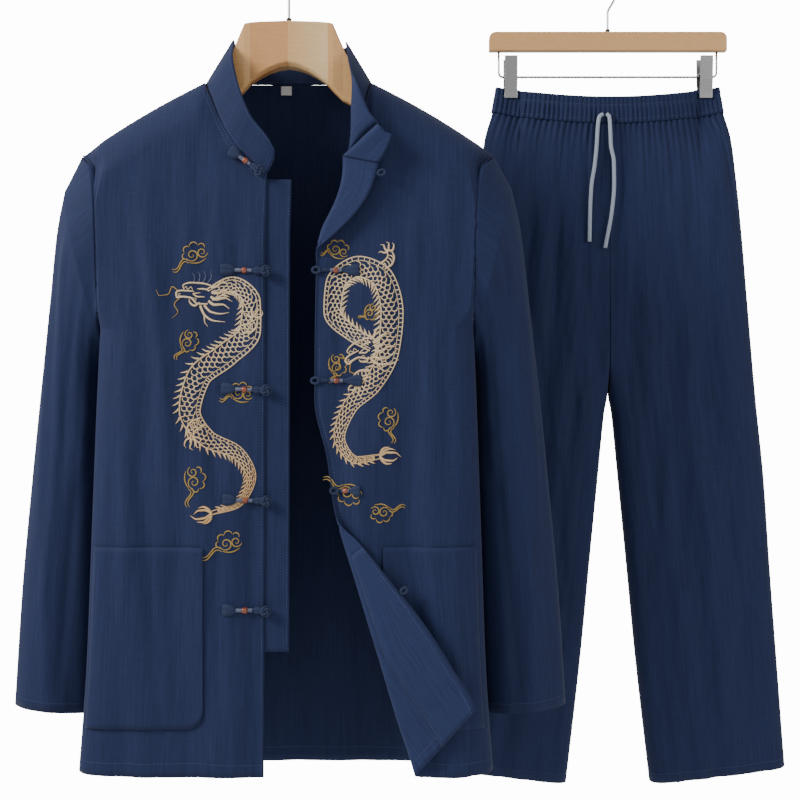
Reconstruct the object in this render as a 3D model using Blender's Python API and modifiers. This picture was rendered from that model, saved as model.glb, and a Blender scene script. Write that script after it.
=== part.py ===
"""Tang suit on its hangers: an open jacket on a shaped wooden hanger, and
elastic-waist trousers on a clip hanger hung behind the jacket's left sleeve.

Lengths are in millimetres and become metres when a mesh is made. X runs to
the wearer's left, Y from the front to the back, Z up. The origin is the inner
top of the jacket hanger's hook. Every cloth panel is a grid of points worked
out from its cut: rows run from the top edge to the hem, columns across.
"""
import math

import bmesh
import bpy
import numpy as np
from mathutils import Vector

MM = 0.001

# Cloth
WALL = 1.2
SEAM = 0.6
TRIM_GAP = 0.5

# Jacket
NECK_POINT = 98.0
NECK_POINT_Z = -163.0
SHOULDER_TIP = 241.0
SHOULDER_TIP_Z = -248.0
SHOULDER_BOW = 4.0
BACK_NECK_Z = -153.0
BACK_NECK_Y = 44.0
HEM_FRONT_Z = -963.0
HEM_SIDE_Z = -957.0
HEM_BACK_Z = -974.0
FRONT_EDGE = 23.0
POCKET_TOP_Z = -703.0
POCKET_BOTTOM_Z = -908.0
POCKET_CORNER = 20.0
POCKET_INNER = 92.0
POCKET_GAP = 1.3
POCKET_INNER_LEFT = 112.0
COLLAR_WALL = 1.6
FACING_WIDTH = 60.0
UNDERLAP_TOP_Z = -284.0
UNDERLAP_BOTTOM_Z = -822.0
UNDERLAP_REACH = 28.0
ARMPIT_ROW = 0.314

# Jacket hanger: top, bottom and half depth of the wood from the middle out.
HANGER = {
    "x": [0, 26, 44, 52, 64, 80, 92, 104],
    "top": [-90, -90, -90, -92, -120, -146, -165, -173],
    "bottom": [-145, -151, -163, -172, -184, -192, -196, -200],
    "deep": [13, 10, 8, 8, 7, 7, 7, 8],
}
NECK_CENTRE = np.array([0.0, 0.0, -100.0])
HANGER_ARM_X = [120, 140, 170, 200, 222]
HANGER_UNDER = 1.9
HOOK_RADIUS = 19.0
WIRE = 3.2

# Trousers
LEG_CENTRE = 405.6
LEG_Y = 170.0
WAIST_TOP_Z = -122.0
WAIST_CHANNEL_Z = -133.0
WAIST_SEAM_Z = -157.0
WAIST_HALF = 147.0
WAIST_SEAM_HALF = 153.0
WAIST_PINCH = 2.4
WAIST_CLIP = 116.0
GATHER_HEIGHT = 1.5
LEG_HEM_OUTER = -1017.0
LEG_HEM_INNER = -1039.0
BAR_LENGTH = 314.0
BAR_TOP_Z = -50.0
BAR_BOTTOM_Z = -75.5
BAR_THICKNESS = 12.0
BAR_CORNER = 9.0
TROUSER_HOOK_Z = 36.0
ROD_Z = -109.0
ROD_HALF = 144.0
ROD_DIAMETER = 3.0
ROD_BEND = 6.0
CLIP_MIDDLE = 128.5
CLIP_WIDTH = 17.0
CLIP_BITE = 2.65
CLIP_TOP_Z = -83.0
CLIP_BOTTOM_Z = -138.0
WAIST_DROP = 18.0
LEG_DEPTH = 20.0
LEG_SEAM = 0.35
WAIST_DEPTH = 21.0
WAIST_GATHERS = 100
LEG_GATHERS = 20

# Side edge of the jacket's front: height, half width, depth.
FRONT_SIDE = {
    "z": [-248, -250, -267, -294, -330, -425, -450, -470, -560, -700, -840, -957],
    "x": [241, 239.5, 225, 220, 218, 216, 213, 205, 205, 207, 210, 214],
    "y": [-0.8, -13, -35, -42, -45, -42, -18, 14, 15, 15, 15, 15],
}
# Side edge of the back.
BACK_SIDE = {
    "z": [-248, -250, -280, -340, -420, -450, -470, -560, -700, -840, -957],
    "x": [241, 239.5, 222, 213, 207, 205, 204, 205, 207, 210, 214],
    "y": [0.8, 14, 40, 52, 50, 34, 15, 16, 16, 16, 16],
}
# Half width of the body where the front rounds over to its side.
BODY_WIDTH = {
    "z": [-248, -330, -430, -470, -540, -690, -840, -960],
    "w": [241, 217, 215, 217, 220, 225, 230, 238],
}
# How far the front and the back stand off the shoulder's plane.
BODY_DEPTH = {
    "z": [-160, -300, -450, -700, -963],
    "front": [-40, -46, -47, -52, -58],
    "back": [44, 56, 54, 48, 42],
}
# Neck edges, from the front edge or the fold up to the neck point.
NECKLINE_RIGHT = {
    "x": [21, 33, 48, 64, 77, 87, 94, 98],
    "z": [-277, -270, -256, -235, -211, -187, -172, -163],
    "y": [-45, -45, -44, -42, -37, -29, -16, 0],
}
NECKLINE_LEFT = {
    "x": [71, 79, 86, 91, 95, 98],
    "z": [-258, -234, -210, -191, -175, -163],
    "y": [-47, -45, -40, -31, -18, 0],
}
# Fold line of the left front: height, place, how far the edge beyond it is
# turned out, square to the fold, and how far up the fold that edge has slipped.
LEFT_FOLD = {
    "z": [-258, -292, -320, -348, -378, -534, -600, -654, -745, -830, -900, -930, -963],
    "x": [71, 58, 50, 41, 35, 33, 47, 56, 83, 109, 130, 140, 150],
    "turned": [37, 29, 20, 10, 0, 0, 0, 1, 26, 55, 73, 80, 85],
    "slip": [-10, -8, -5, -2, 0, 0, 0, 0, 18, 35, 49, 55, 60],
}
FOLD_RADIUS = 4.0
BACK_BULGE = 2.5
FRONT_BULGE = 30.0
# Large soft folds of the body: top and bottom of each ridge, half width,
# height out of the cloth. Positive x is the wearer's left.
FRONT_FOLDS = {
    "x_top": [-150, -185, -95, 120, 165, 85, -60, 190],
    "z_top": [-330, -380, -580, -330, -380, -560, -600, -600],
    "x_end": [-120, -160, -70, 95, 185, 120, -55, 205],
    "z_end": [-690, -960, -963, -640, -960, -963, -940, -960],
    "half": [24, 20, 26, 24, 22, 20, 18, 18],
    "high": [5, 4, 6, 5, 4, 5, 3, 4],
}
BACK_FOLDS = {
    "x_top": [-140, -60, 70, 150, 10],
    "z_top": [-330, -420, -380, -340, -560],
    "x_end": [-110, -75, 95, 125, 15],
    "z_end": [-900, -963, -963, -880, -963],
    "half": [26, 24, 26, 24, 28],
    "high": [5, 6, 5, 5, 6],
}
# Rings of a sleeve below the armhole: outer and inner end, half depth and the
# depth of the middle.
SLEEVE = {
    "x_out": [263, 274, 285, 298, 310, 320, 329],
    "z_out": [-287, -335, -420, -530, -650, -760, -897],
    "x_in": [214, 218, 220, 219, 221, 225, 231],
    "z_in": [-480, -492, -515, -570, -672, -775, -906],
    "deep": [50, 47, 43, 41, 39, 37, 36],
    "mid_y": [6, 12, 18, 21, 22, 22, 22],
}
# Collar, from the right front corner round the back to the left one: foot,
# middle and top of the band.
COLLAR = {
    "foot": [(-21, -46, -276), (-33, -46, -269), (-48, -44, -255), (-64, -38, -234),
             (-77, -29, -210), (-87, -18, -186), (-95, -7, -169), (-98, 2, -162),
             (-90, 18, -157), (-66, 35, -153), (-34, 43, -152), (0, 45, -151.5),
             (34, 43, -152), (66, 35, -153), (90, 18, -157), (98, 2, -162),
             (95, -8, -170), (88, -22, -189), (80, -35, -213), (73, -46, -237),
             (70, -55, -256), (84, -61, -263), (103, -65, -278)],
    "middle": [(-13.5, -48, -262), (-25, -49, -252), (-40, -47, -237), (-54, -42, -217),
               (-65, -33, -194), (-74, -22, -168), (-81, -10, -149), (-84, 2, -139),
               (-80, 21, -134), (-61, 38, -131), (-32, 45.5, -130.5), (0, 47.5, -130),
               (32, 45.5, -130.5), (61, 38, -131), (80, 21, -134), (84, 2, -139),
               (83, -11, -150), (77, -26, -171), (73, -42, -193), (77, -53, -216),
               (91, -61, -239), (102, -65, -251), (112, -68, -263)],
    "top": [(-12, -49, -250), (-20, -51, -236), (-33, -49, -220), (-44, -44, -200),
            (-53, -35, -176), (-60, -24, -148), (-64, -11, -124), (-66, 2, -110),
            (-66, 24, -109), (-54, 41, -108.5), (-30, 48, -108), (0, 50, -108),
            (30, 48, -108), (54, 41, -108.5), (66, 24, -109), (67, 2, -111),
            (70, -13, -132), (73, -29, -156), (81, -48, -178), (93, -59, -202),
            (110, -67, -223), (117, -70, -235), (118, -71, -247)],
}
# Closings: height of each, place of the loop on the left front.
FROG_Z = [-278, -387, -523, -649, -773]
LOOP_X = [104, 31, 30, 52, 133]
LOOP_Z = [-281, -388, -514, -639, -753]
FROG_TAIL = [34, 46, 44, 42, 42]
FROG_STANDOFF = [0, 4.2, 4.2, 2.6, 3.2]
LOOP_STANDOFF = [0, 4.8, 3.2, 1.8, 0]
LOOP_TAIL = [0, 44, 50, 28, 0]

# Outer side of a trouser leg and its inseam, measured from the middle.
LEG_OUTER = {
    "z": [-158, -191, -237, -328, -401, -536, -637, -738, -873, -1017],
    "x": [153, 162.6, 168.6, 177.6, 183.7, 195.2, 205.5, 212.3, 222.3, 233.2],
}
LEG_INNER = {
    "z": [-158, -480, -530, -553, -637, -738, -873, -1039],
    "x": [0.4, 0.4, 1.2, 4.6, 13, 23, 36, 55],
}
LEG_FOLDS = {
    "x_top": [40, 85, 125, 60, 110, 90],
    "z_top": [-190, -200, -200, -420, -560, -700],
    "x_end": [50, 110, 165, 95, 165, 120],
    "z_end": [-520, -640, -600, -960, -1030, -1030],
    "half": [14, 16, 14, 18, 16, 20],
    "high": [4, 4, 4, 4, 5, 4],
}
# Free ends of the drawstring, from the front of the waistband down.
CORD_RIGHT = [(394.6, 144.7, -164), (390, 142, -168), (388, 141, -179), (386.5, 141.5, -205),
              (384, 142.5, -231), (380, 143, -257), (378.5, 143.5, -285), (377.5, 144, -330)]
CORD_LEFT = [(400.4, 144.3, -164), (403, 142, -168), (404, 141, -184), (405, 141.5, -205),
             (409, 142.5, -226), (409.5, 143, -256), (407, 143.5, -287), (398, 144, -338)]
CORD_DIAMETER = 5.0

# Columns of the panels, as shares of the way from the side seam to the inner
# edge, and their rows, as shares of the way from the top edge to the hem.
SIDE_SHARES = [0, 0.03, 0.06, 0.09, 0.12]
SIDE_TURN = [-25.0, 15.0, 50.0, 90.0]
SIDE_RADIUS = 25.0
RIGHT_SHARES = SIDE_SHARES + [0.2, 0.29, 0.38, 0.47, 0.56, 0.65, 0.7, 0.745, 0.805, 0.877, 0.945, 1]
LEFT_SHARES = SIDE_SHARES + [0.21, 0.31, 0.42, 0.53, 0.64, 0.74, 0.8412, 0.882, 0.912, 0.953, 1]
BACK_SHARES = SIDE_SHARES + [0.22, 0.34, 0.47, 0.5934, 0.64, 0.72, 0.86, 1]
RIGHT_NECK = RIGHT_SHARES.index(0.65)
LEFT_NECK = LEFT_SHARES.index(0.8412)
BACK_NECK = BACK_SHARES.index(0.5934)
FRONT_HEIGHTS = [0, 0.006, 0.026, 0.07, 0.125, 0.19, 0.25, 0.285, 0.314, 0.38, 0.47, 0.56, 0.65, 0.74,
                 0.83, 0.92, 1.0]
LEG_HEIGHTS = [0, 0.012, 0.04, 0.12, 0.27, 0.42, 0.455, 0.62, 0.8, 1.0]
# Columns past the fold line: up to 1 round the fold, then across the flap.
BEND_STEPS = [0.2, 0.4, 0.6, 0.8, 1.0, 1.35, 1.7, 2.0]
FOLDED_ANGLE = 174.0

NAVY = (0.020, 0.030, 0.075)
NAVY_LIGHT = (0.030, 0.042, 0.095)
WOOD = (0.62, 0.33, 0.14)
STEEL = (0.45, 0.45, 0.46)
CORD_GREY = (0.42, 0.47, 0.55)


def make_collection(name):
    collection = bpy.data.collections.new(name)
    bpy.context.scene.collection.children.link(collection)
    return collection


def material(name, colour, roughness, metallic=0.0):
    """A plain Principled material."""
    result = bpy.data.materials.new(name)
    result.use_nodes = True
    shader = result.node_tree.nodes["Principled BSDF"]
    shader.inputs["Base Color"].default_value = (*colour, 1.0)
    shader.inputs["Roughness"].default_value = roughness
    shader.inputs["Metallic"].default_value = metallic
    return result


def curve_value(at, places, values):
    """Smooth value through a table (cubic, without overshoot)."""
    order = np.argsort(places)
    x = np.asarray(places, float)[order]
    y = np.asarray(values, float)[order]
    step = np.diff(x)
    slope = np.diff(y) / step
    tangent = np.zeros_like(y)
    same = slope[:-1] * slope[1:] > 0
    weight = np.where(same, slope[:-1] + slope[1:], 1.0)
    tangent[1:-1] = np.where(same, 2 * slope[:-1] * slope[1:] / weight, 0.0)
    tangent[0] = slope[0]
    tangent[-1] = slope[-1]
    at = np.clip(at, x[0], x[-1])
    i = np.clip(np.searchsorted(x, at) - 1, 0, len(x) - 2)
    t = (at - x[i]) / step[i]
    rise = y[i] * (2 * t**3 - 3 * t**2 + 1) + y[i + 1] * (3 * t**2 - 2 * t**3)
    return rise + step[i] * ((t**3 - 2 * t**2 + t) * tangent[i] + (t**3 - t**2) * tangent[i + 1])


def ease(at, start, end):
    """0 before start, 1 after end, smooth between."""
    t = np.clip((at - start) / (end - start), 0.0, 1.0)
    return t * t * (3 - 2 * t)


def rounded(distance, radius):
    """0 at an edge and 1 from one radius in, along a quarter circle."""
    t = np.clip(distance / radius, 0.0, 1.0)
    return np.sqrt(np.clip(1 - (1 - t)**2, 0.0, 1.0))


def fold_height(x, z, folds):
    """Sum of the soft ridges of a table at each point."""
    total = np.zeros_like(x)
    names = ("x_top", "z_top", "x_end", "z_end", "half", "high")
    for x0, z0, x1, z1, half, high in zip(*(folds[name] for name in names)):
        t = (z - z0) / (z1 - z0)
        middle = x0 + (x1 - x0) * t
        along = ease(t, -0.05, 0.25) * (1 - ease(t, 0.85, 1.15))
        total += high * along * np.exp(-((x - middle) / half)**2)
    return total


def grid_normals(points, closed=False):
    """Unit normals of a grid of points, columns cross rows."""
    if closed:
        across = np.roll(points, -1, axis=1) - np.roll(points, 1, axis=1)
    else:
        across = np.gradient(points, axis=1)
    down = np.gradient(points, axis=0)
    normal = np.cross(down, across)
    return normal / np.linalg.norm(normal, axis=2, keepdims=True)


def new_object(name, mesh, look, collection):
    result = bpy.data.objects.new(name, mesh)
    result.data.materials.append(look)
    collection.objects.link(result)
    return result


def grid_mesh(name, points, closed=False, flip=False):
    """Open sheet through a grid of points; closed joins last column to first."""
    rows, columns = points.shape[:2]
    index = np.arange(rows * columns).reshape(rows, columns)
    if closed:
        index = np.concatenate([index, index[:, :1]], axis=1)
    corners = [index[:-1, :-1], index[1:, :-1], index[1:, 1:], index[:-1, 1:]]
    if flip:
        corners.reverse()
    faces = np.stack(corners, axis=-1).reshape(-1, 4)
    mesh = bpy.data.meshes.new(name)
    mesh.from_pydata((points.reshape(-1, 3) * MM).tolist(), [], faces.tolist())
    mesh.shade_smooth()
    return mesh


def sheet(name, points, look, collection, wall=WALL, closed=False, flip=False):
    """Cloth wall: the grid is its outer face, the thickness goes inwards."""
    result = new_object(name, grid_mesh(name, points, closed, flip), look, collection)
    solid = result.modifiers.new("wall", "SOLIDIFY")
    solid.thickness = wall * MM
    solid.offset = -1.0
    return result


def tube(name, points, diameter, look, collection, resolution=2):
    """Round wire or cord with capped ends along a line of points."""
    curve = bpy.data.curves.new(name, "CURVE")
    curve.dimensions = "3D"
    curve.bevel_depth = diameter / 2 * MM
    curve.bevel_resolution = resolution
    curve.use_fill_caps = True
    spline = curve.splines.new("POLY")
    spline.points.add(len(points) - 1)
    for target, point in zip(spline.points, points):
        target.co = (*(np.asarray(point, float) * MM), 1.0)
    return new_object(name, curve, look, collection)


def smooth_path(points, spacing):
    """Points at even spacing on a smooth curve through the given ones."""
    points = np.asarray(points, float)
    length = np.concatenate([[0], np.cumsum(np.linalg.norm(np.diff(points, axis=0), axis=1))])
    count = max(3, int(round(length[-1] / spacing)) + 1)
    at = np.linspace(0, length[-1], count)
    return np.stack([curve_value(at, length, points[:, axis]) for axis in range(3)], axis=1)


def shoulder_z(x):
    """Height of the shoulder line, a little bowed, at a distance from the middle."""
    t = (x - NECK_POINT) / (SHOULDER_TIP - NECK_POINT)
    bow = SHOULDER_BOW * np.sin(math.pi * np.clip(t, 0, 1))
    return NECK_POINT_Z + (SHOULDER_TIP_Z - NECK_POINT_Z) * t + bow


def front_top(x, neckline):
    """Top edge of a front: the shoulder seam, then the neck edge."""
    on_shoulder = x >= NECK_POINT
    z = np.where(on_shoulder, shoulder_z(x), curve_value(x, neckline["x"], neckline["z"]))
    y = np.where(on_shoulder, 0.0, curve_value(x, neckline["x"], neckline["y"]))
    return z, y - SEAM


def section(z, share, side, width, plane, edge):
    """Level section of a front or back: side seam, rounded side, flat middle.

    share runs from 0 at the side seam to 1 at the inner edge; the columns of
    SIDE_SHARES hold the turn of the side."""
    side_x = curve_value(z, side["z"], side["x"])
    side_y = curve_value(z, side["z"], side["y"])
    toward = np.sign(plane)
    room = np.abs(side_y - plane)
    radius = np.minimum(SIDE_RADIUS, room * 0.7 + 0.3)
    angle = np.radians(np.interp(share, SIDE_SHARES[1:], SIDE_TURN))
    angle = np.where(angle < 0, angle * ease(room, 30.0, 60.0), angle)
    turn_x = width - radius + radius * np.cos(angle)
    turn_y = plane - toward * radius + toward * radius * np.sin(angle)
    flat = (share - SIDE_SHARES[-1]) / (1 - SIDE_SHARES[-1])
    flat_x = (width - radius) * (1 - flat) + edge * flat
    x = np.where(share > SIDE_SHARES[-1], flat_x, turn_x)
    y = np.where(share > SIDE_SHARES[-1], plane, turn_y)
    on_edge = share <= 0
    x = np.where(on_edge, side_x, x)
    y = np.where(on_edge, side_y, y)
    return x, y


def body_panel(shares, heights, top_x, top_z, top_y, side, edge_x, depth, hem_z, folds, mirror):
    """Grid of a front or back from its top edge to its hem.

    shares are the columns, heights the rows from 0 to 1. Each column starts
    on the top edge and ends at the hem; it takes the level section's shape
    once it is a little below the top."""
    share = np.asarray(shares)[None, :] + np.zeros((len(heights), 1))
    t = np.asarray(heights)[:, None] + np.zeros_like(share)
    z = top_z[None, :] * (1 - t) + hem_z[None, :] * t
    drop = top_z[None, :] - z
    plane = curve_value(z, BODY_DEPTH["z"], BODY_DEPTH[depth])
    side_x = curve_value(z, side["z"], side["x"])
    width = curve_value(z, BODY_WIDTH["z"], BODY_WIDTH["w"])
    most = side_x - 0.5 + (BACK_BULGE if depth == "back" else FRONT_BULGE) * ease(-z, 430, 500)
    width = np.minimum(width, most)
    x, y = section(z, share, side, width, plane, edge_x(z))
    settle = ease(drop, 0.0, 90.0)
    upper_x = top_x[None, -1:] + (side_x - top_x[None, -1:]) * (1 - share)
    x = np.where(share > 0, upper_x * (1 - settle) + x * settle, x)
    fall = rounded(drop, 55.0)
    y = np.where(share > 0, top_y[None, :] + (y - top_y[None, :]) * fall, y)
    toward = np.sign(BODY_DEPTH[depth][0])
    ridge = fold_height(mirror * x, z, folds) * ease(share, 0.05, 0.2) * ease(drop, 30.0, 90.0)
    y = y + toward * ridge
    return np.stack([mirror * x, y, z], axis=2)


def front_grid(mirror, inner_x, shares, neckline):
    """A front panel; inner_x gives the inner edge's place at each height."""
    shares = np.array(shares)
    top_x = SHOULDER_TIP + (neckline["x"][0] - SHOULDER_TIP) * shares
    top_z, top_y = front_top(top_x, neckline)
    hem_z = HEM_SIDE_Z + (HEM_FRONT_Z - HEM_SIDE_Z) * rounded(shares, 0.5)
    return body_panel(shares, FRONT_HEIGHTS, top_x, top_z, top_y, FRONT_SIDE, inner_x, "front",
                      hem_z, FRONT_FOLDS, mirror)


def bend(start, out, up, turned, slip, radius, steps):
    """Cloth past a fold line: first round the fold, then flat and a little open.

    start holds a row's fold points, out and up the unit directions square to
    the fold and along it, turned and slip how far its edge lies each way."""
    most = math.radians(FOLDED_ANGLE)
    length = 3.0 + turned * (1.0 + 2.14 * radius / np.maximum(turned, 12.0))
    columns = []
    for step in steps:
        s = np.minimum(step * most * radius, length)
        s = np.where(step > 1.0, most * radius + (step - 1.0) * np.maximum(length - most * radius, 0), s)
        s = np.where(length < most * radius, length * step / steps[-1], s)
        angle = np.minimum(s / radius, most)
        past = np.maximum(s - most * radius, 0.0)
        inward = radius * np.sin(angle) + past * math.cos(most)
        forward = radius * (1 - np.cos(angle)) + past * math.sin(most)
        columns.append(start + out * (radius - inward)[:, None] + up * (slip * s / length)[:, None]
                       + np.outer(forward, (0, -1, 0)))
    return np.stack(columns, axis=1)


def left_front_grid():
    """Left front with its upper edge and its lower corner turned out."""
    def inner_x(z):
        return curve_value(z, LEFT_FOLD["z"], LEFT_FOLD["x"]) + FOLD_RADIUS
    panel = front_grid(1, inner_x, LEFT_SHARES, NECKLINE_LEFT)
    last = panel[:, -1]
    down = np.gradient(last, axis=0)
    down[:, 1] = 0
    down /= np.linalg.norm(down, axis=1, keepdims=True)
    out = np.stack([-down[:, 2], np.zeros(len(down)), down[:, 0]], axis=1)
    turned = curve_value(last[:, 2], LEFT_FOLD["z"], LEFT_FOLD["turned"])
    slip = curve_value(last[:, 2], LEFT_FOLD["z"], LEFT_FOLD["slip"])
    flap = bend(last - out * FOLD_RADIUS, out, -down, turned, slip, FOLD_RADIUS, BEND_STEPS)
    return np.concatenate([panel, flap], axis=1)


def back_grid():
    half = np.array(BACK_SHARES)
    top_x = SHOULDER_TIP * (1 - half)
    neck = NECK_POINT
    on_shoulder = top_x >= neck
    bow = np.sqrt(np.clip(1 - (top_x / neck)**2, 0, 1))
    top_z = np.where(on_shoulder, shoulder_z(top_x), NECK_POINT_Z + (BACK_NECK_Z - NECK_POINT_Z) * bow)
    top_y = np.where(on_shoulder, SEAM, SEAM + BACK_NECK_Y * bow)
    hem_z = HEM_SIDE_Z + (HEM_BACK_Z - HEM_SIDE_Z) * rounded(half, 0.4)
    halves = [body_panel(half, FRONT_HEIGHTS, top_x, top_z, top_y, BACK_SIDE, lambda z: 0.0 * z,
                         "back", hem_z, BACK_FOLDS, mirror) for mirror in (-1, 1)]
    return np.concatenate([halves[0], halves[1][:, -2::-1]], axis=1)


def sleeve_grid(mirror, front_edge, back_edge):
    """Sleeve from the armhole's own points through the rings of its table."""
    tip = 0.5 * (front_edge[0] + back_edge[0])
    pit = 0.5 * (front_edge[-1] + back_edge[-1])
    loop = np.concatenate([[tip], front_edge[1:-1], [pit], back_edge[-2:0:-1]])
    half = len(front_edge) - 1
    down = run_length(np.concatenate([[tip], front_edge[1:-1], [pit]]))
    up = run_length(np.concatenate([[pit], back_edge[-2:0:-1], [tip]]))
    angle = math.pi * np.concatenate([down[:half], 1 + up[:half]])
    away = loop - loop.mean(axis=0)
    away[:, 0] = 0
    away /= np.linalg.norm(away, axis=1, keepdims=True)
    off = 1.2 + 1.0 * np.clip(np.cos(angle), 0, 1)**2
    rings = [loop + np.outer(mirror * off, (1, 0, 0)) + 0.5 * away]
    names = ("x_out", "z_out", "x_in", "z_in", "deep", "mid_y")
    for x_out, z_out, x_in, z_in, deep, mid_y in zip(*(SLEEVE[name] for name in names)):
        centre = np.array([(x_out + x_in) / 2, mid_y, (z_out + z_in) / 2])
        reach = np.array([(x_out - x_in) / 2, 0, (z_out - z_in) / 2])
        points = centre + np.outer(np.cos(angle), reach)
        points[:, 1] -= deep * np.sin(angle)
        points[:, 0] *= mirror
        rings.append(points)
    return np.stack(rings)


def neck_edge(panel, first, last):
    """Points just off a panel's neck edge, in the plane of its cloth."""
    edge = panel[0]
    tangent = np.gradient(edge, axis=0)
    off = np.cross(grid_normals(panel)[0], tangent)
    off /= np.linalg.norm(off, axis=1, keepdims=True)
    off *= np.sign(np.sum(off * (NECK_CENTRE - edge), axis=1))[:, None]
    return (edge + off * TRIM_GAP)[first:last]


def collar_grid(right, back, left):
    """Stand collar on the neck edge of the panels, leaning as its table says."""
    point_right = 0.5 * (right[0, RIGHT_NECK] + back[0, BACK_NECK])
    point_left = 0.5 * (left[0, LEFT_NECK] + back[0, -1 - BACK_NECK])
    lift = np.array([0, 0, 1.4 * TRIM_GAP])
    foot = np.concatenate([neck_edge(right, RIGHT_NECK + 1, None)[::-1], [point_right + lift],
                           neck_edge(back, BACK_NECK + 1, -1 - BACK_NECK), [point_left + lift],
                           neck_edge(left, LEFT_NECK + 1, None)])
    share = run_length(foot)
    table = {key: np.array(COLLAR[key], float) for key in COLLAR}
    known = run_length(table["foot"])
    middle, top = (foot + np.stack([curve_value(share, known, (table[key] - table["foot"])[:, axis])
                                    for axis in range(3)], axis=1) for key in ("middle", "top"))
    rows = [foot * (1 - t) * (1 - 2 * t) + 4 * middle * t * (1 - t) + top * t * (2 * t - 1)
            for t in (1.0, 0.67, 0.33, 0.0)]
    return np.stack(rows)


def run_length(points):
    """Share of the whole length at each point of a line."""
    step = np.linalg.norm(np.diff(points, axis=0), axis=1)
    total = np.concatenate([[0], np.cumsum(step)])
    return total / total[-1]


def outward_normals(grid):
    """Normals of a body panel that point away from the wearer."""
    normal = grid_normals(grid)
    middle = (len(grid) // 2, len(SIDE_SHARES) + 3)
    return normal * np.sign(normal[middle][1] * grid[middle][1])


def at_place(grid, column, z):
    """Point of a panel at a fractional column and a height."""
    low = min(int(column), grid.shape[1] - 2)
    part = column - low
    line = grid[:, low] * (1 - part) + grid[:, low + 1] * part
    return np.array([np.interp(-z, -line[:, 2], line[:, axis]) for axis in range(3)])


def pocket_grid(panel, mirror, inner_edge):
    """Patch pocket on a front, its inner lower corner rounded."""
    lifted = panel + outward_normals(panel) * POCKET_GAP
    main = len(LEFT_SHARES) if mirror > 0 else len(RIGHT_SHARES)
    side = len(SIDE_SHARES)
    levels = np.linspace(POCKET_TOP_Z, POCKET_BOTTOM_Z, 8)
    inner_columns = []
    for level in levels:
        line = np.array([at_place(lifted, c, level) for c in range(side, main)])
        places = -mirror * line[:, 0]
        inner_columns.append(side + np.interp(-inner_edge(level), places, np.arange(main - side)))
    whole = int(min(inner_columns))
    rows = []
    for t, level, inner in zip(np.linspace(0, 1, 8), levels, inner_columns):
        edge = inner_edge(level)
        last = whole + (inner - whole) * np.array([0.4, 0.75, 0.92, 1])
        columns = list(range(side - 2, whole + 1)) + list(last)
        row = []
        for column in columns:
            x = mirror * at_place(lifted, column, level)[0]
            near = np.clip((POCKET_CORNER - (x - edge)) / POCKET_CORNER, 0, 1)
            rise = POCKET_CORNER * (1 - np.sqrt(1 - near**2))
            row.append(at_place(lifted, column, level + rise * t))
        rows.append(row)
    return np.array(rows)


def facing_grid(left, first_row, last_row):
    """Facing on the turned-out part of the left front, on its inner side."""
    inner = left - outward_normals(left) * (WALL + TRIM_GAP)
    last = left.shape[1] - 1
    first = last - 3
    rows = []
    for r in range(first_row, last_row):
        flat = np.linalg.norm(left[r, last] - left[r, first])
        start = max(first + 0.2, last - 3 * FACING_WIDTH / flat)
        row = []
        for column in np.linspace(start, last - 0.05, 4):
            low = int(column)
            row.append(inner[r, low] * (1 - column + low) + inner[r, low + 1] * (column - low))
        rows.append(row)
    return np.array(rows)


def underlap_grid(right):
    """Strip behind the right front's edge that reaches past it."""
    main = len(RIGHT_SHARES) - 1
    rows = []
    for z in np.linspace(UNDERLAP_TOP_Z, UNDERLAP_BOTTOM_Z, 10):
        near = at_place(right, main - 2, z)
        edge = at_place(right, main, z)
        depth = max(near[1], edge[1]) + WALL + TRIM_GAP
        rows.append([(x, depth, z) for x in (near[0], edge[0], edge[0] + UNDERLAP_REACH)])
    return np.array(rows)


def front_depth(x, z):
    """Depth of the flat part of the fronts at a place."""
    x = np.asarray(x, float)
    z = np.asarray(z, float)
    return curve_value(z, BODY_DEPTH["z"], BODY_DEPTH["front"]) - fold_height(x, z, FRONT_FOLDS)


def turned_solid(name, stations, place, along, look, collection, sides=6):
    """Soft round form along a line: stations hold distance, half height and
    half depth. place is its start and along the direction it runs."""
    along = Vector(along).normalized()
    depth = Vector((0, -1, 0))
    up = depth.cross(along).normalized()
    mesh = bpy.data.meshes.new(name)
    build = bmesh.new()
    rings = []
    for distance, high, deep in stations:
        ring = []
        for k in range(sides):
            angle = 2 * math.pi * k / sides
            round_it = up * high * math.sin(angle) + depth * deep * math.cos(angle)
            ring.append(build.verts.new((Vector(place) + along * distance + round_it) * MM))
        rings.append(ring)
    for first, second in zip(rings[:-1], rings[1:]):
        for k in range(sides):
            build.faces.new((first[k], first[k - 1], second[k - 1], second[k]))
    build.faces.new(rings[0])
    build.faces.new(list(reversed(rings[-1])))
    bmesh.ops.recalc_face_normals(build, faces=build.faces)
    build.to_mesh(mesh)
    build.free()
    mesh.shade_smooth()
    return new_object(name, mesh, look, collection)


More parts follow.
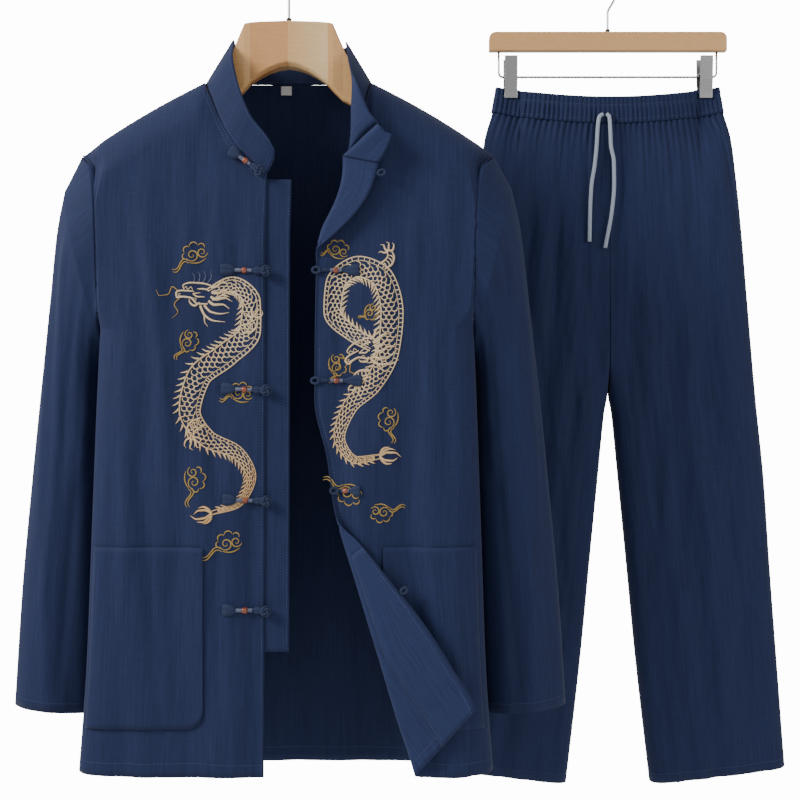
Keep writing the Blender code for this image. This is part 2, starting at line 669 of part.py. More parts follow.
def frogs(left, navy, collection):
    """Knotted buttons on the right front and their loops on the left one.

    The first and the last loop stand off the edge that is turned out."""
    for number, (z, tail) in enumerate(zip(FROG_Z, FROG_TAIL), start=1):
        start = -FRONT_EDGE - tail - 6
        xs = np.linspace(start, -FRONT_EDGE + 6, 9)
        if number == 1:
            slope = Vector((34, 0, -24))
            place = (-63, -49.8, -251)
        else:
            slope = Vector((1, 0, -0.04))
            place = (start, float(front_depth(xs, z + 0 * xs).min()) - FROG_STANDOFF[number - 1], z)
        length = tail + 10
        stations = [(0, 5.5, 2.0), (2, 7.0, 2.6), (length * 0.24, 6.6, 2.6), (length * 0.38, 2.6, 2.2),
                    (length * 0.44, 1.6, 1.6), (length * 0.56, 1.6, 1.6), (length * 0.66, 4.0, 2.6),
                    (length * 0.76, 3.4, 2.8), (length * 0.8, 5.4, 3.4), (length * 0.9, 6.2, 3.8),
                    (length * 0.98, 4.2, 3.0), (length, 1.5, 1.2)]
        turned_solid(f"frog_button_{number}", stations, place, slope, navy, collection)
    for number in (2, 3, 4):
        x = LOOP_X[number - 1]
        z = LOOP_Z[number - 1]
        tail = LOOP_TAIL[number - 1]
        xs = np.linspace(x + 4, x + tail, 9)
        depth = float(front_depth(xs, z + 0 * xs).min()) - LOOP_STANDOFF[number - 1]
        stations = [(0, 2.0, 1.2), (2, 4.2, 2.0), (7, 4.2, 2.0), (tail * 0.3, 2.0, 1.8),
                    (tail * 0.6, 1.8, 1.6), (tail * 0.7, 4.5, 2.4), (tail - 3, 6.6, 2.4),
                    (tail, 5.0, 1.8)]
        turned_solid(f"frog_loop_{number}", stations, (x, depth, z), (1, 0, 0), navy, collection)
    for number, off, direction in ((1, 2.3, (0.95, 0, 0.3)), (5, 0.7, (0.69, 0, 0.72))):
        z = LOOP_Z[number - 1]
        edge = left[:, -1]
        place = np.array([np.interp(-z, -edge[:, 2], edge[:, axis]) for axis in range(3)])
        place = place + np.array(direction) * off
        stations = [(0, 2.0, 1.2), (1.5, 4.0, 1.8), (7, 4.0, 1.8), (8.5, 2.0, 1.2)]
        turned_solid(f"frog_loop_{number}", stations, place, direction, navy, collection)


def leg_section(u, z, outer, inner):
    """Half depth of a leg at a distance u from the middle."""
    open_share = ease(-z, 130, 260)
    bow = np.sqrt(np.clip(1 - (u / WAIST_CLIP)**2, 0, 1))
    at_top = WAIST_PINCH + (WAIST_DEPTH - WAIST_PINCH) * bow
    depth = at_top * (1 - open_share) + LEG_DEPTH * open_share
    radius = 5.0 + 17.0 * open_share
    inner_turn = ease(-z, 480, 553)
    profile_in = 1 - inner_turn * (1 - rounded(u - inner, 22.0))
    return depth * rounded(outer - u, radius) * profile_in


def waist_drop(u, toward):
    """How far the waist hangs below its sides."""
    most = WAIST_DROP if toward < 0 else 0.5 * WAIST_DROP
    return most * np.clip(1 - (u / 150.0)**2, 0, 1)


def leg_grid(side, toward, gathers):
    """Front or back panel of one leg, from the waist seam to the hem.

    side is -1 for the wearer's right and toward -1 for the front. The gathers
    of the waist seam fade into soft folds below it."""
    share = np.concatenate([[0, 0.003], np.linspace(0, 1, 2 * gathers + 1)[1:-1], [0.997, 1]])
    share = share[None, :] + np.zeros((len(LEG_HEIGHTS), 1))
    t = np.array(LEG_HEIGHTS)[:, None] + np.zeros_like(share)
    z = WAIST_SEAM_Z * (1 - t) + (LEG_HEM_OUTER + (LEG_HEM_INNER - LEG_HEM_OUTER) * share) * t
    outer = curve_value(z, LEG_OUTER["z"], LEG_OUTER["x"])
    inner = curve_value(z, LEG_INNER["z"], LEG_INNER["x"])
    u = outer * (1 - share) + inner * share
    depth = leg_section(u, z, outer, inner)
    z = z - waist_drop(u, toward) * (1 - ease(t, 0, 0.4))
    gather = np.where(np.arange(share.shape[1]) % 2 == 0, -1.0, 1.0)[None, :]
    fade = GATHER_HEIGHT * np.exp(-t / 0.035) * rounded(outer - u, 12.0) * rounded(u - inner, 14.0)
    ridge = fold_height(u, z, LEG_FOLDS) * rounded(outer - u, 30.0)
    ridge = ridge * (1 - ease(-z, 400, 560) * (1 - rounded(u - inner, 30.0)))
    seam = LEG_SEAM + 0.5 * (1 - ease(-z, 130, 260))
    y = LEG_Y + toward * (seam + depth + gather * fade + ridge)
    return np.stack([LEG_CENTRE + side * u, y, z], axis=2)


def waistband(look, collection):
    """Gathered casing: waves on its outer points over a plain inside."""
    count = WAIST_GATHERS
    across = np.linspace(-1, 1, count + 1)
    rings = []
    for z, out, wave in ((WAIST_SEAM_Z + TRIM_GAP, 1.4, 0.7), (WAIST_CHANNEL_Z, 1.0, 0.5),
                         (WAIST_TOP_Z, 1.4, 0.7), (WAIST_TOP_Z, -0.6, 0.0),
                         (WAIST_SEAM_Z + TRIM_GAP, -0.6, 0.0)):
        down = (WAIST_TOP_Z - z) / (WAIST_TOP_Z - WAIST_SEAM_Z)
        half = WAIST_HALF + (WAIST_SEAM_HALF - WAIST_HALF) * down
        ring = []
        for toward, line in ((-1, across[:-1]), (1, across[:0:-1])):
            u = line * half
            depth = leg_section(np.abs(u), z + 0 * u, half, -100.0)
            turn = rounded(half - np.abs(u), 3.0)
            gather = np.where(np.arange(count) % 2 == 0, -1.0, 1.0) * wave * turn
            x = LEG_CENTRE + u + np.sign(u) * out * (1 - turn)
            y = LEG_Y + toward * (depth + out * turn + gather + 0.25 * turn)
            ring.append(np.stack([x, y, z - waist_drop(np.abs(u), toward)], axis=1))
        rings.append(np.concatenate(ring))
    points = np.stack(rings + rings[:1])
    rows, columns = points.shape[:2]
    mesh = grid_mesh("waistband", points, closed=True)
    build = bmesh.new()
    build.from_mesh(mesh)
    bmesh.ops.remove_doubles(build, verts=build.verts, dist=0.00001)
    bmesh.ops.recalc_face_normals(build, faces=build.faces)
    build.to_mesh(mesh)
    build.free()
    return new_object("waistband", mesh, look, collection)


def hook(name, x, y, base_z, top_z, look, collection):
    """Wire hook: a straight stem that swings aside into a round crook."""
    radius = HOOK_RADIUS
    centre = top_z - radius
    points = [(x, y, base_z), (x, y, centre - 2.2 * radius), (x + 0.35 * radius, y, centre - 1.45 * radius)]
    for degrees in range(-35, 216, 25):
        angle = math.radians(degrees)
        points.append((x + radius * math.cos(angle), y, centre + radius * math.sin(angle)))
    return tube(name, points, WIRE, look, collection)


def jacket_hanger(look, collection):
    """Shaped wooden hanger: sections of a faceted bar along X."""
    half = list(zip(HANGER["x"], HANGER["top"], HANGER["bottom"], HANGER["deep"]))
    for x in HANGER_ARM_X:
        top = shoulder_z(x) - HANGER_UNDER
        bottom = top - 32 + 12 * (x - 100) / 128
        half.append((x, top, bottom, min(13.0, 9 + 0.2 * (HANGER_ARM_X[-1] - x))))
    whole = [(-x, top, bottom, deep) for x, top, bottom, deep in reversed(half[1:])] + half
    rows = []
    for x, top, bottom, deep in whole:
        rows.append([(x, 0, top), (x, -0.5 * deep, top - 2.2), (x, -deep, top - 8), (x, -deep, bottom + 5),
                     (x, -0.6 * deep, bottom), (x, 0.6 * deep, bottom), (x, deep, bottom + 5),
                     (x, deep, top - 8), (x, 0.5 * deep, top - 2.2)])
    mesh = grid_mesh("jacket_hanger", np.array(rows, float), closed=True)
    build = bmesh.new()
    build.from_mesh(mesh)
    bmesh.ops.holes_fill(build, edges=build.edges)
    bmesh.ops.recalc_face_normals(build, faces=build.faces)
    build.to_mesh(mesh)
    build.free()
    return new_object("jacket_hanger", mesh, look, collection)


def flat_outline(name, points, thickness, look, collection):
    """Flat piece from an outline in its own XY plane."""
    curve = bpy.data.curves.new(name, "CURVE")
    curve.dimensions = "2D"
    curve.fill_mode = "BOTH"
    curve.extrude = thickness / 2 * MM
    spline = curve.splines.new("POLY")
    spline.points.add(len(points) - 1)
    spline.use_cyclic_u = True
    for target, (x, y) in zip(spline.points, points):
        target.co = (x * MM, y * MM, 0.0, 1.0)
    return new_object(name, curve, look, collection)


def arc(centre_x, centre_y, radius, start, end, steps):
    """Points on an arc, in degrees."""
    return [(centre_x + radius * math.cos(math.radians(a)), centre_y + radius * math.sin(math.radians(a)))
            for a in np.linspace(start, end, steps)]


def trouser_hanger(wood, steel, collection):
    """Wooden bar, hook, wire rod and two clips over the rod."""
    radius = BAR_CORNER
    half = BAR_LENGTH / 2
    outline = ([(-half, BAR_BOTTOM_Z), (half, BAR_BOTTOM_Z)]
               + arc(half - radius, BAR_TOP_Z - radius, radius, 0, 90, 5)
               + arc(radius - half, BAR_TOP_Z - radius, radius, 90, 180, 5))
    bar = flat_outline("trouser_hanger", outline, BAR_THICKNESS, wood, collection)
    bar.location = Vector((LEG_CENTRE, LEG_Y, 0)) * MM
    bar.rotation_euler = (math.radians(90), 0, 0)
    hook("trouser_hook_wire", LEG_CENTRE, LEG_Y, BAR_TOP_Z + 0.3, TROUSER_HOOK_Z, steel, collection)
    drop = ROD_BEND
    left = [(-ROD_HALF, BAR_BOTTOM_Z - 0.3), (-ROD_HALF, ROD_Z + drop)]
    left += arc(drop - ROD_HALF, ROD_Z + drop, drop, 180, 270, 4)[1:]
    line = left + [(-x, z) for x, z in reversed(left)]
    tube("trouser_wire", [(LEG_CENTRE + x, LEG_Y, z) for x, z in line], ROD_DIAMETER, steel, collection)
    for name, middle in (("clip_right", -CLIP_MIDDLE), ("clip_left", CLIP_MIDDLE)):
        jaw = WAIST_PINCH + CLIP_BITE
        bridge = ROD_Z + ROD_DIAMETER / 2 + 0.3
        half_outline = [(2.6, bridge), (8.5, bridge), (8.5, ROD_Z - 6), (jaw, CLIP_BOTTOM_Z + 6),
                        (jaw, CLIP_BOTTOM_Z), (jaw + 2, CLIP_BOTTOM_Z), (jaw + 2, CLIP_BOTTOM_Z + 7),
                        (10.5, ROD_Z - 5), (10.5, bridge + 4), (12, CLIP_TOP_Z), (10, CLIP_TOP_Z),
                        (8.5, bridge + 2.5), (2.6, bridge + 2.5)]
        outline = half_outline + [(-y, z) for y, z in reversed(half_outline)]
        clip = flat_outline(name, outline, CLIP_WIDTH, steel, collection)
        clip.location = Vector((LEG_CENTRE + middle, LEG_Y, 0)) * MM
        clip.rotation_euler = (math.radians(90), 0, math.radians(90))


def main():
    for old in list(bpy.data.objects):
        bpy.data.objects.remove(old, do_unlink=True)
    collection = make_collection("tang_suit")
    navy = material("navy_cloth", NAVY, 0.85)
    inside = material("cloth_inside", NAVY_LIGHT, 0.85)
    wood = material("hanger_wood", WOOD, 0.35)
    steel = material("hanger_steel", STEEL, 0.3, 1.0)
    grey = material("drawstring", CORD_GREY, 0.8)
    white = material("label_cloth", (0.8, 0.8, 0.78), 0.8)

    right = front_grid(-1, lambda z: FRONT_EDGE + 0 * z, RIGHT_SHARES, NECKLINE_RIGHT)
    left = left_front_grid()
    back = back_grid()
    sheet("front_right", right, navy, collection)
    sheet("front_left", left, navy, collection, flip=True)
    sheet("back", back, navy, collection, flip=True)
    armhole = FRONT_HEIGHTS.index(ARMPIT_ROW) + 1
    sheet("sleeve_right", sleeve_grid(-1, right[:armhole, 0], back[:armhole, 0]), navy, collection,
          closed=True)
    sheet("sleeve_left", sleeve_grid(1, left[:armhole, 0], back[:armhole, -1]), navy, collection,
          closed=True, flip=True)
    sheet("collar", collar_grid(right, back, left), navy, collection, wall=COLLAR_WALL, flip=True)
    sheet("pocket_right", pocket_grid(right, -1, lambda z: POCKET_INNER), navy, collection, flip=True)
    sheet("pocket_left", pocket_grid(left, 1, lambda z: max(
        POCKET_INNER_LEFT, 8 + float(curve_value(z, LEFT_FOLD["z"], LEFT_FOLD["x"])))), navy, collection)
    last = len(FRONT_HEIGHTS)
    sheet("facing_upper", facing_grid(left, 0, 4), inside, collection, flip=True)
    sheet("facing_lower", facing_grid(left, last - 5, last), inside, collection, flip=True)
    sheet("underlap", underlap_grid(right), navy, collection)
    label_y = BACK_NECK_Y - WALL - 1.0
    label = np.array([[(x, label_y, z) for x in (-13.5, -0.5)] for z in (-155, -166)], float)
    sheet("size_label", label, white, collection, wall=0.6, flip=True)
    frogs(left, navy, collection)

    jacket_hanger(wood, collection)
    hook("jacket_hook_wire", 0, 0, HANGER["top"][0] + 0.3, WIRE / 2, steel, collection)

    for side, word in ((-1, "right"), (1, "left")):
        sheet(f"trouser_front_{word}", leg_grid(side, -1, LEG_GATHERS), navy, collection, flip=side > 0)
        sheet(f"trouser_back_{word}", leg_grid(side, 1, LEG_GATHERS // 2), navy, collection, flip=side < 0)
    waistband(navy, collection)
    trouser_hanger(wood, steel, collection)
    for word, route in (("right", CORD_RIGHT), ("left", CORD_LEFT)):
        tube(f"drawstring_{word}", smooth_path(route, 2.6 * CORD_DIAMETER), CORD_DIAMETER, grey, collection)


main()
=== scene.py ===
import math

import bmesh
import bpy
import numpy as np
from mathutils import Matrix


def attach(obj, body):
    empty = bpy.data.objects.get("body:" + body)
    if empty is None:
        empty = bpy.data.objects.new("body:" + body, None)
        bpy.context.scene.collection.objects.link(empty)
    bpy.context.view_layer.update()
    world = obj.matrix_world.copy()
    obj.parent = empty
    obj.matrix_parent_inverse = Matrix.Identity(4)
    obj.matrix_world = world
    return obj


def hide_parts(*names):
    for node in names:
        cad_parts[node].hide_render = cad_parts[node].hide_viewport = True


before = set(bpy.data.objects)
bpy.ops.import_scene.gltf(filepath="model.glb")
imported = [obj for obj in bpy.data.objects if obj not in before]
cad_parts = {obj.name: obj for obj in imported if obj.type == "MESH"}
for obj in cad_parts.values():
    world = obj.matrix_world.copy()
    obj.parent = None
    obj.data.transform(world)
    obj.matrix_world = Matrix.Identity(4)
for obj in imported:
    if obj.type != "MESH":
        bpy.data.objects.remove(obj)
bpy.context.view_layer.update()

# Tang suit on its hangers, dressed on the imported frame. Lengths are in
# millimetres and become metres when a mesh is made. X runs to the wearer's
# left, Y from front to back, Z up, from the inner top of the jacket's hook.
scene = bpy.context.scene
MM = 0.001

# Camera
# The picture is taken straight on from 1.4 m in front of the jacket, level
# with the middle of its body and a little to the wearer's left.
camera_data = bpy.data.cameras.new("camera")
camera_data.lens = 53.4
camera_data.sensor_width = 36
camera = bpy.data.objects.new("camera", camera_data)
camera.location = (0.131, -1.4, -0.536)
camera.rotation_euler = (math.radians(90), 0, 0)
scene.collection.objects.link(camera)
scene.camera = camera

# Studio
# A round pale floor under the hanging clothes, a white room and two large
# soft lamps, the stronger one high on the left.
FLOOR_Z = -1.6
FLOOR_RADIUS = 1.6
floor_mesh = bpy.data.meshes.new("floor")
floor_build = bmesh.new()
bmesh.ops.create_circle(floor_build, cap_ends=True, segments=96, radius=FLOOR_RADIUS)
bmesh.ops.translate(floor_build, verts=floor_build.verts, vec=(0.155, 0.06, FLOOR_Z))
floor_build.to_mesh(floor_mesh)
floor_build.free()
floor = bpy.data.objects.new("floor", floor_mesh)
floor_look = bpy.data.materials.new("pale_floor")
floor_look.use_nodes = True
floor_look.node_tree.nodes["Principled BSDF"].inputs["Base Color"].default_value = (0.9, 0.9, 0.9, 1)
floor_mesh.materials.append(floor_look)
scene.collection.objects.link(floor)

world = bpy.data.worlds.new("white_room")
world.use_nodes = True
world.node_tree.nodes["Background"].inputs["Color"].default_value = (1, 1, 1, 1)
world.node_tree.nodes["Background"].inputs["Strength"].default_value = 0.62
seen = world.node_tree.nodes.new("ShaderNodeBackground")
seen.inputs["Color"].default_value = (1, 1, 1, 1)
seen.inputs["Strength"].default_value = 14.0
ray = world.node_tree.nodes.new("ShaderNodeLightPath")
either = world.node_tree.nodes.new("ShaderNodeMixShader")
world.node_tree.links.new(ray.outputs["Is Camera Ray"], either.inputs[0])
world.node_tree.links.new(world.node_tree.nodes["Background"].outputs[0], either.inputs[1])
world.node_tree.links.new(seen.outputs[0], either.inputs[2])
world.node_tree.links.new(either.outputs[0], world.node_tree.nodes["World Output"].inputs[0])
scene.world = world


def soft_lamp(name, place, target, size, watts):
    """Square lamp at a place, turned to a target."""
    data = bpy.data.lights.new(name, "AREA")
    data.size = size
    data.energy = watts
    lamp = bpy.data.objects.new(name, data)
    lamp.location = place
    aim = bpy.data.objects.new(name + "_aim", None)
    aim.location = target
    towards = np.array(target) - np.array(place)
    lamp.rotation_mode = "XYZ"
    lamp.rotation_euler = (math.atan2(math.hypot(towards[0], towards[1]), -towards[2]), 0,
                           math.atan2(towards[0], -towards[1]) + math.pi)
    bpy.data.objects.remove(aim)
    scene.collection.objects.link(lamp)


soft_lamp("key_lamp", (-2.1, -1.1, 0.9), (0.1, 0, -0.55), 1.0, 95)
soft_lamp("fill_lamp", (2.2, -1.6, 0.1), (0.2, 0, -0.55), 1.5, 22)


# Looks
# Each finish is one Principled surface. What changes over it is worked out
# by a few nodes, written as sums of sockets.
class Socket:
    """A node's output in a look; arithmetic on it adds Math nodes."""

    def __init__(self, look, output):
        self.look = look
        self.output = output

    def math(self, operation, first, second=None):
        values = [first] if second is None else [first, second]
        return self.look.node("ShaderNodeMath", {"operation": operation}, dict(enumerate(values)))

    def __add__(self, other):
        return self.math("ADD", self, other)

    def __radd__(self, other):
        return self.math("ADD", other, self)

    def __sub__(self, other):
        return self.math("SUBTRACT", self, other)

    def __rsub__(self, other):
        return self.math("SUBTRACT", other, self)

    def __mul__(self, other):
        return self.math("MULTIPLY", self, other)

    def __rmul__(self, other):
        return self.math("MULTIPLY", other, self)

    def __abs__(self):
        return self.math("ABSOLUTE", self)

    def sine(self):
        return self.math("SINE", self)

    def power(self, exponent):
        return self.math("POWER", self, exponent)


class Look:
    """A Principled material. Fixed values are set on the shader's sockets."""

    def __init__(self, name, colour, roughness, metallic=0.0, **fixed):
        self.material = bpy.data.materials.new(name)
        self.material.use_nodes = True
        self.tree = self.material.node_tree
        self.shader = self.tree.nodes["Principled BSDF"]
        self.shader.inputs["Base Color"].default_value = (*colour, 1.0)
        self.shader.inputs["Roughness"].default_value = roughness
        self.shader.inputs["Metallic"].default_value = metallic
        for key, value in fixed.items():
            self.shader.inputs[key.replace("_", " ")].default_value = value

    def node(self, kind, settings, values, output=0):
        """Add a node: its settings first, then a value or a link for each socket."""
        made = self.tree.nodes.new(kind)
        stops = settings.pop("stops", None)
        for key, value in settings.items():
            setattr(made, key, value)
        if stops:
            ramp = made.color_ramp.elements
            for place, colour in stops[2:]:
                ramp.new(place)
            for element, (place, colour) in zip(ramp, stops):
                element.position = place
                element.color = (*colour, 1.0)
        for key, value in values.items():
            if isinstance(value, Socket):
                self.tree.links.new(value.output, made.inputs[key])
            else:
                made.inputs[key].default_value = value
        return Socket(self, made.outputs[output])

    def cloth_place(self, scale):
        """The piece's own flat coordinates in metres, times a scale."""
        place = self.node("ShaderNodeUVMap", {"uv_map": "cloth"}, {})
        return self.node("ShaderNodeVectorMath", {"operation": "MULTIPLY"}, {0: place, 1: scale})

    def object_place(self, scale):
        """The place in the row frame in metres, times a scale."""
        place = self.node("ShaderNodeTexCoord", {}, {}, output="Object")
        return self.node("ShaderNodeVectorMath", {"operation": "MULTIPLY"}, {0: place, 1: scale})

    def noise(self, place, detail=2.0, roughness=0.5):
        return self.node("ShaderNodeTexNoise", {}, {"Vector": place, "Scale": 1.0, "Detail": detail,
                                                    "Roughness": roughness}, output=0)

    def split(self, vector):
        """X, Y and Z of a vector."""
        made = self.node("ShaderNodeSeparateXYZ", {}, {0: vector}).output.node
        return [Socket(self, output) for output in made.outputs]

    def mix(self, share, first, second):
        """Colour between two others."""
        made = self.tree.nodes.new("ShaderNodeMix")
        made.data_type = "RGBA"
        self.tree.links.new(share.output, made.inputs[0])
        for number, value in ((6, first), (7, second)):
            if isinstance(value, Socket):
                self.tree.links.new(value.output, made.inputs[number])
            else:
                made.inputs[number].default_value = (*value, 1.0)
        return Socket(self, made.outputs[2])

    def ramp(self, share, stops):
        return self.node("ShaderNodeValToRGB", {"stops": stops}, {0: share})

    def drive(self, key, value):
        self.tree.links.new(value.output, self.shader.inputs[key])

    def bump(self, height, distance, strength=1.0, under=None):
        """Surface relief in metres; under is a relief already made."""
        values = {"Strength": strength, "Distance": distance, "Height": height}
        if under is not None:
            values["Normal"] = under
        relief = self.node("ShaderNodeBump", {}, values)
        self.drive("Normal", relief)
        return relief


def woven_cloth(name, dark, light):
    """Matt cotton and linen: upright slubs, a fine weft and slight creasing."""
    look = Look(name, dark, 0.78, Sheen_Weight=0.06, Sheen_Roughness=0.4, Specular_IOR_Level=0.2)
    warp = look.noise(look.cloth_place((1500, 34, 1)), 2.0, 0.6)
    weft = look.noise(look.cloth_place((60, 1500, 1)), 1.0)
    streak = look.noise(look.cloth_place((420, 9, 1)), 3.0, 0.6)
    crease = look.noise(look.cloth_place((42, 20, 1)), 2.0)
    thread = warp * 0.62 + weft * 0.38
    shade = look.ramp(thread * 0.6 + streak * 0.4, [(0.3, dark), (0.7, light)])
    look.drive("Base Color", shade)
    look.drive("Roughness", 0.9 - thread * 0.22)
    soft = look.bump(crease, 0.0016, 0.35)
    look.bump(thread, 0.00028, 0.8, under=soft)
    return look


NAVY_DARK = (0.0060, 0.0105, 0.036)
NAVY_LIGHT = (0.0150, 0.0250, 0.080)
navy = woven_cloth("navy_cloth", NAVY_DARK, NAVY_LIGHT)
inner_navy = woven_cloth("cloth_inner_side", (0.009, 0.015, 0.048), (0.022, 0.034, 0.100))


def curve_value(at, places, values):
    """Smooth value through a table: cubic pieces whose slopes never overshoot."""
    order = np.argsort(places)
    x = np.asarray(places, float)[order]
    y = np.asarray(values, float)[order]
    step = np.diff(x)
    slope = np.diff(y) / step
    tangent = np.zeros_like(y)
    same = slope[:-1] * slope[1:] > 0
    weight = np.where(same, slope[:-1] + slope[1:], 1.0)
    tangent[1:-1] = np.where(same, 2 * slope[:-1] * slope[1:] / weight, 0.0)
    tangent[0] = slope[0]
    tangent[-1] = slope[-1]
    at = np.clip(at, x[0], x[-1])
    i = np.clip(np.searchsorted(x, at) - 1, 0, len(x) - 2)
    t = (at - x[i]) / step[i]
    rise = y[i] * (2 * t**3 - 3 * t**2 + 1) + y[i + 1] * (3 * t**2 - 2 * t**3)
    return rise + step[i] * ((t**3 - 2 * t**2 + t) * tangent[i] + (t**3 - t**2) * tangent[i + 1])


def run_length(points):
    """Length along a line at each of its points."""
    step = np.linalg.norm(np.diff(points, axis=0), axis=1)
    return np.concatenate([[0], np.cumsum(step)])


def smooth_path(points, spacing):
    """Points at even spacing on a smooth curve through the given ones."""
    points = np.asarray(points, float)
    length = run_length(points)
    at = np.linspace(0, length[-1], max(3, int(round(length[-1] / spacing)) + 1))
    return np.stack([curve_value(at, length, points[:, axis]) for axis in range(points.shape[1])], axis=1)


def cells(rows, columns, flip=False):
    """Corner numbers of each cell of a grid whose points count row by row."""
    index = np.arange(rows * columns).reshape(rows, columns)
    corners = [index[:-1, :-1], index[1:, :-1], index[1:, 1:], index[:-1, 1:]]
    if flip:
        corners.reverse()
    return np.stack(corners, axis=-1).reshape(-1, 4)


def put(name, vertices, faces, uv, look):
    """New object from points in millimetres; uv holds a pair for each corner."""
    mesh = bpy.data.meshes.new(name)
    mesh.from_pydata((np.asarray(vertices) * MM).tolist(), [], faces)
    layer = mesh.uv_layers.new(name="cloth")
    layer.data.foreach_set("uv", np.asarray(uv, float).ravel())
    mesh.shade_smooth()
    mesh.materials.append(look.material)
    made = bpy.data.objects.new(name, mesh)
    scene.collection.objects.link(made)
    return made


def ringed(rows, columns):
    """Cells of a grid whose last column joins the first, and the cells of its
    flat coordinates, which have one column more."""
    flat = cells(rows, columns + 1)
    line, place = np.divmod(flat, columns + 1)
    return line * columns + place % columns, flat


def tube_rings(path, radius, sides, across):
    """Rings round a path: centre + radius (cos a n + sin a b), where n and b
    are square to the path and n is square to across too."""
    along = np.gradient(path, axis=0)
    along /= np.linalg.norm(along, axis=1, keepdims=True)
    normal = np.cross(along, across)
    normal /= np.linalg.norm(normal, axis=1, keepdims=True)
    other = np.cross(along, normal)
    angle = np.linspace(0, 2 * math.pi, sides, endpoint=False)
    reach = np.broadcast_to(radius, len(path))[:, None, None]
    round_it = (np.cos(angle)[None, :, None] * normal[:, None, :]
                + np.sin(angle)[None, :, None] * other[:, None, :])
    return path[:, None, :] + reach * round_it


def tube_parts(path, radius, sides=12, across=(0.0, 1.0, 0.0)):
    """Points, faces and corner coordinates of a capped round bar along a path.
    Coordinates are metres along the path, and round it from 0 to 1."""
    path = np.asarray(path, float)
    rings = tube_rings(path, radius, sides, across)
    faces, flat = ringed(len(path), sides)
    u = run_length(path) * MM
    grid_uv = np.stack(np.meshgrid(u, np.linspace(0, 1, sides + 1), indexing="ij"), axis=-1).reshape(-1, 2)
    caps = [list(range(sides)), list(range(len(path) * sides - 1, (len(path) - 1) * sides - 1, -1))]
    uv = np.concatenate([grid_uv[flat].reshape(-1, 2), np.zeros((2 * sides, 2))])
    return rings.reshape(-1, 3), faces.tolist() + caps, uv


def joined(name, parts, look):
    """One object from several sets of points, faces and coordinates."""
    vertices = np.concatenate([part[0] for part in parts])
    start = np.cumsum([0] + [len(part[0]) for part in parts])
    faces = [[corner + first for corner in face] for part, first in zip(parts, start) for face in part[1]]
    uv = np.concatenate([part[2] for part in parts])
    made = put(name, vertices, faces, uv, look)
    build = bmesh.new()
    build.from_mesh(made.data)
    bmesh.ops.recalc_face_normals(build, faces=build.faces)
    build.to_mesh(made.data)
    build.free()
    return made


# Drawstring
# A round braided cotton cord, light blue grey, that comes out of the front of
# the waistband in two free ends.
CORD_DIAMETER = 5.0
CORD_ROUTES = {
    "right": [(394.6, 144.7, -164), (390, 142, -168), (388, 141, -179), (386.5, 141.5, -205),
              (384, 142.5, -231), (380, 143, -257), (378.5, 143.5, -285), (377.5, 144, -330)],
    "left": [(400.4, 144.3, -164), (403, 142, -168), (404, 141, -184), (405, 141.5, -205),
             (409, 142.5, -226), (409.5, 143, -256), (407, 143.5, -287), (398, 144, -338)],
}
cord_look = Look("drawstring_braid", (0.30, 0.35, 0.44), 0.75, Sheen_Weight=0.3)
cord_along, cord_round, _ = cord_look.split(cord_look.cloth_place((1, 1, 1)))
braid_relief_and_groove_shade = (cord_along * 2600.0 + cord_round * 25.13).sine() * (cord_along * 2600.0 - cord_round * 25.13).sine()
# The braid's base colour is darker where its relief is low: painted shade in the grooves between strands, over the
# cord's own light blue grey.
cord_look.drive("Base Color", cord_look.ramp(braid_relief_and_groove_shade * 0.5 + 0.5, [(0.1, (0.17, 0.21, 0.29)),
                                                                      (0.75, (0.42, 0.48, 0.58))]))
cord_look.bump(braid_relief_and_groove_shade, 0.0004, 0.9)
for side, route in CORD_ROUTES.items():
    path = smooth_path(route, 2.5)
    strand = joined(f"drawstring_end_{side}", [tube_parts(path, CORD_DIAMETER / 2, 16)], cord_look)
    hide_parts(f"drawstring_{side}")
    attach(strand, "root")


# Body of the jacket
# Back and two fronts cut from the navy cloth, joined at the shoulders and the
# sides. They hang from the wooden hanger in long soft folds.
WALL = 1.2
SEAM = 0.6
NECK_POINT = 98.0
NECK_POINT_Z = -163.0
SHOULDER_TIP = 241.0
SHOULDER_TIP_Z = -248.0
SHOULDER_BOW = 4.0
BACK_NECK_Z = -153.0
BACK_NECK_Y = 44.0
HEM_FRONT_Z = -963.0
HEM_SIDE_Z = -957.0
HEM_BACK_Z = -974.0
FRONT_EDGE = 23.0
FRONT_SIDE = {
    "z": [-248, -250, -267, -294, -330, -425, -450, -470, -560, -700, -840, -957],
    "x": [241, 239.5, 225, 220, 218, 216, 213, 205, 205, 207, 210, 214],
    "y": [-0.8, -13, -35, -42, -45, -42, -18, 14, 15, 15, 15, 15],
}
BACK_SIDE = {
    "z": [-248, -250, -280, -340, -420, -450, -470, -560, -700, -840, -957],
    "x": [241, 239.5, 222, 213, 207, 205, 204, 205, 207, 210, 214],
    "y": [0.8, 14, 40, 52, 50, 34, 15, 16, 16, 16, 16],
}
BODY_WIDTH = {
    "z": [-248, -330, -430, -470, -540, -690, -840, -960],
    "w": [241, 217, 215, 217, 220, 225, 230, 238],
}
BODY_DEPTH = {
    "z": [-160, -300, -450, -700, -963],
    "front": [-40, -46, -47, -52, -58],
    "back": [44, 56, 54, 48, 42],
}
NECKLINE_RIGHT = {
    "x": [21, 33, 48, 64, 77, 87, 94, 98],
    "z": [-277, -270, -256, -235, -211, -187, -172, -163],
    "y": [-45, -45, -44, -42, -37, -29, -16, 0],
}
NECKLINE_LEFT = {
    "x": [71, 79, 86, 91, 95, 98],
    "z": [-258, -234, -210, -191, -175, -163],
    "y": [-47, -45, -40, -31, -18, 0],
}
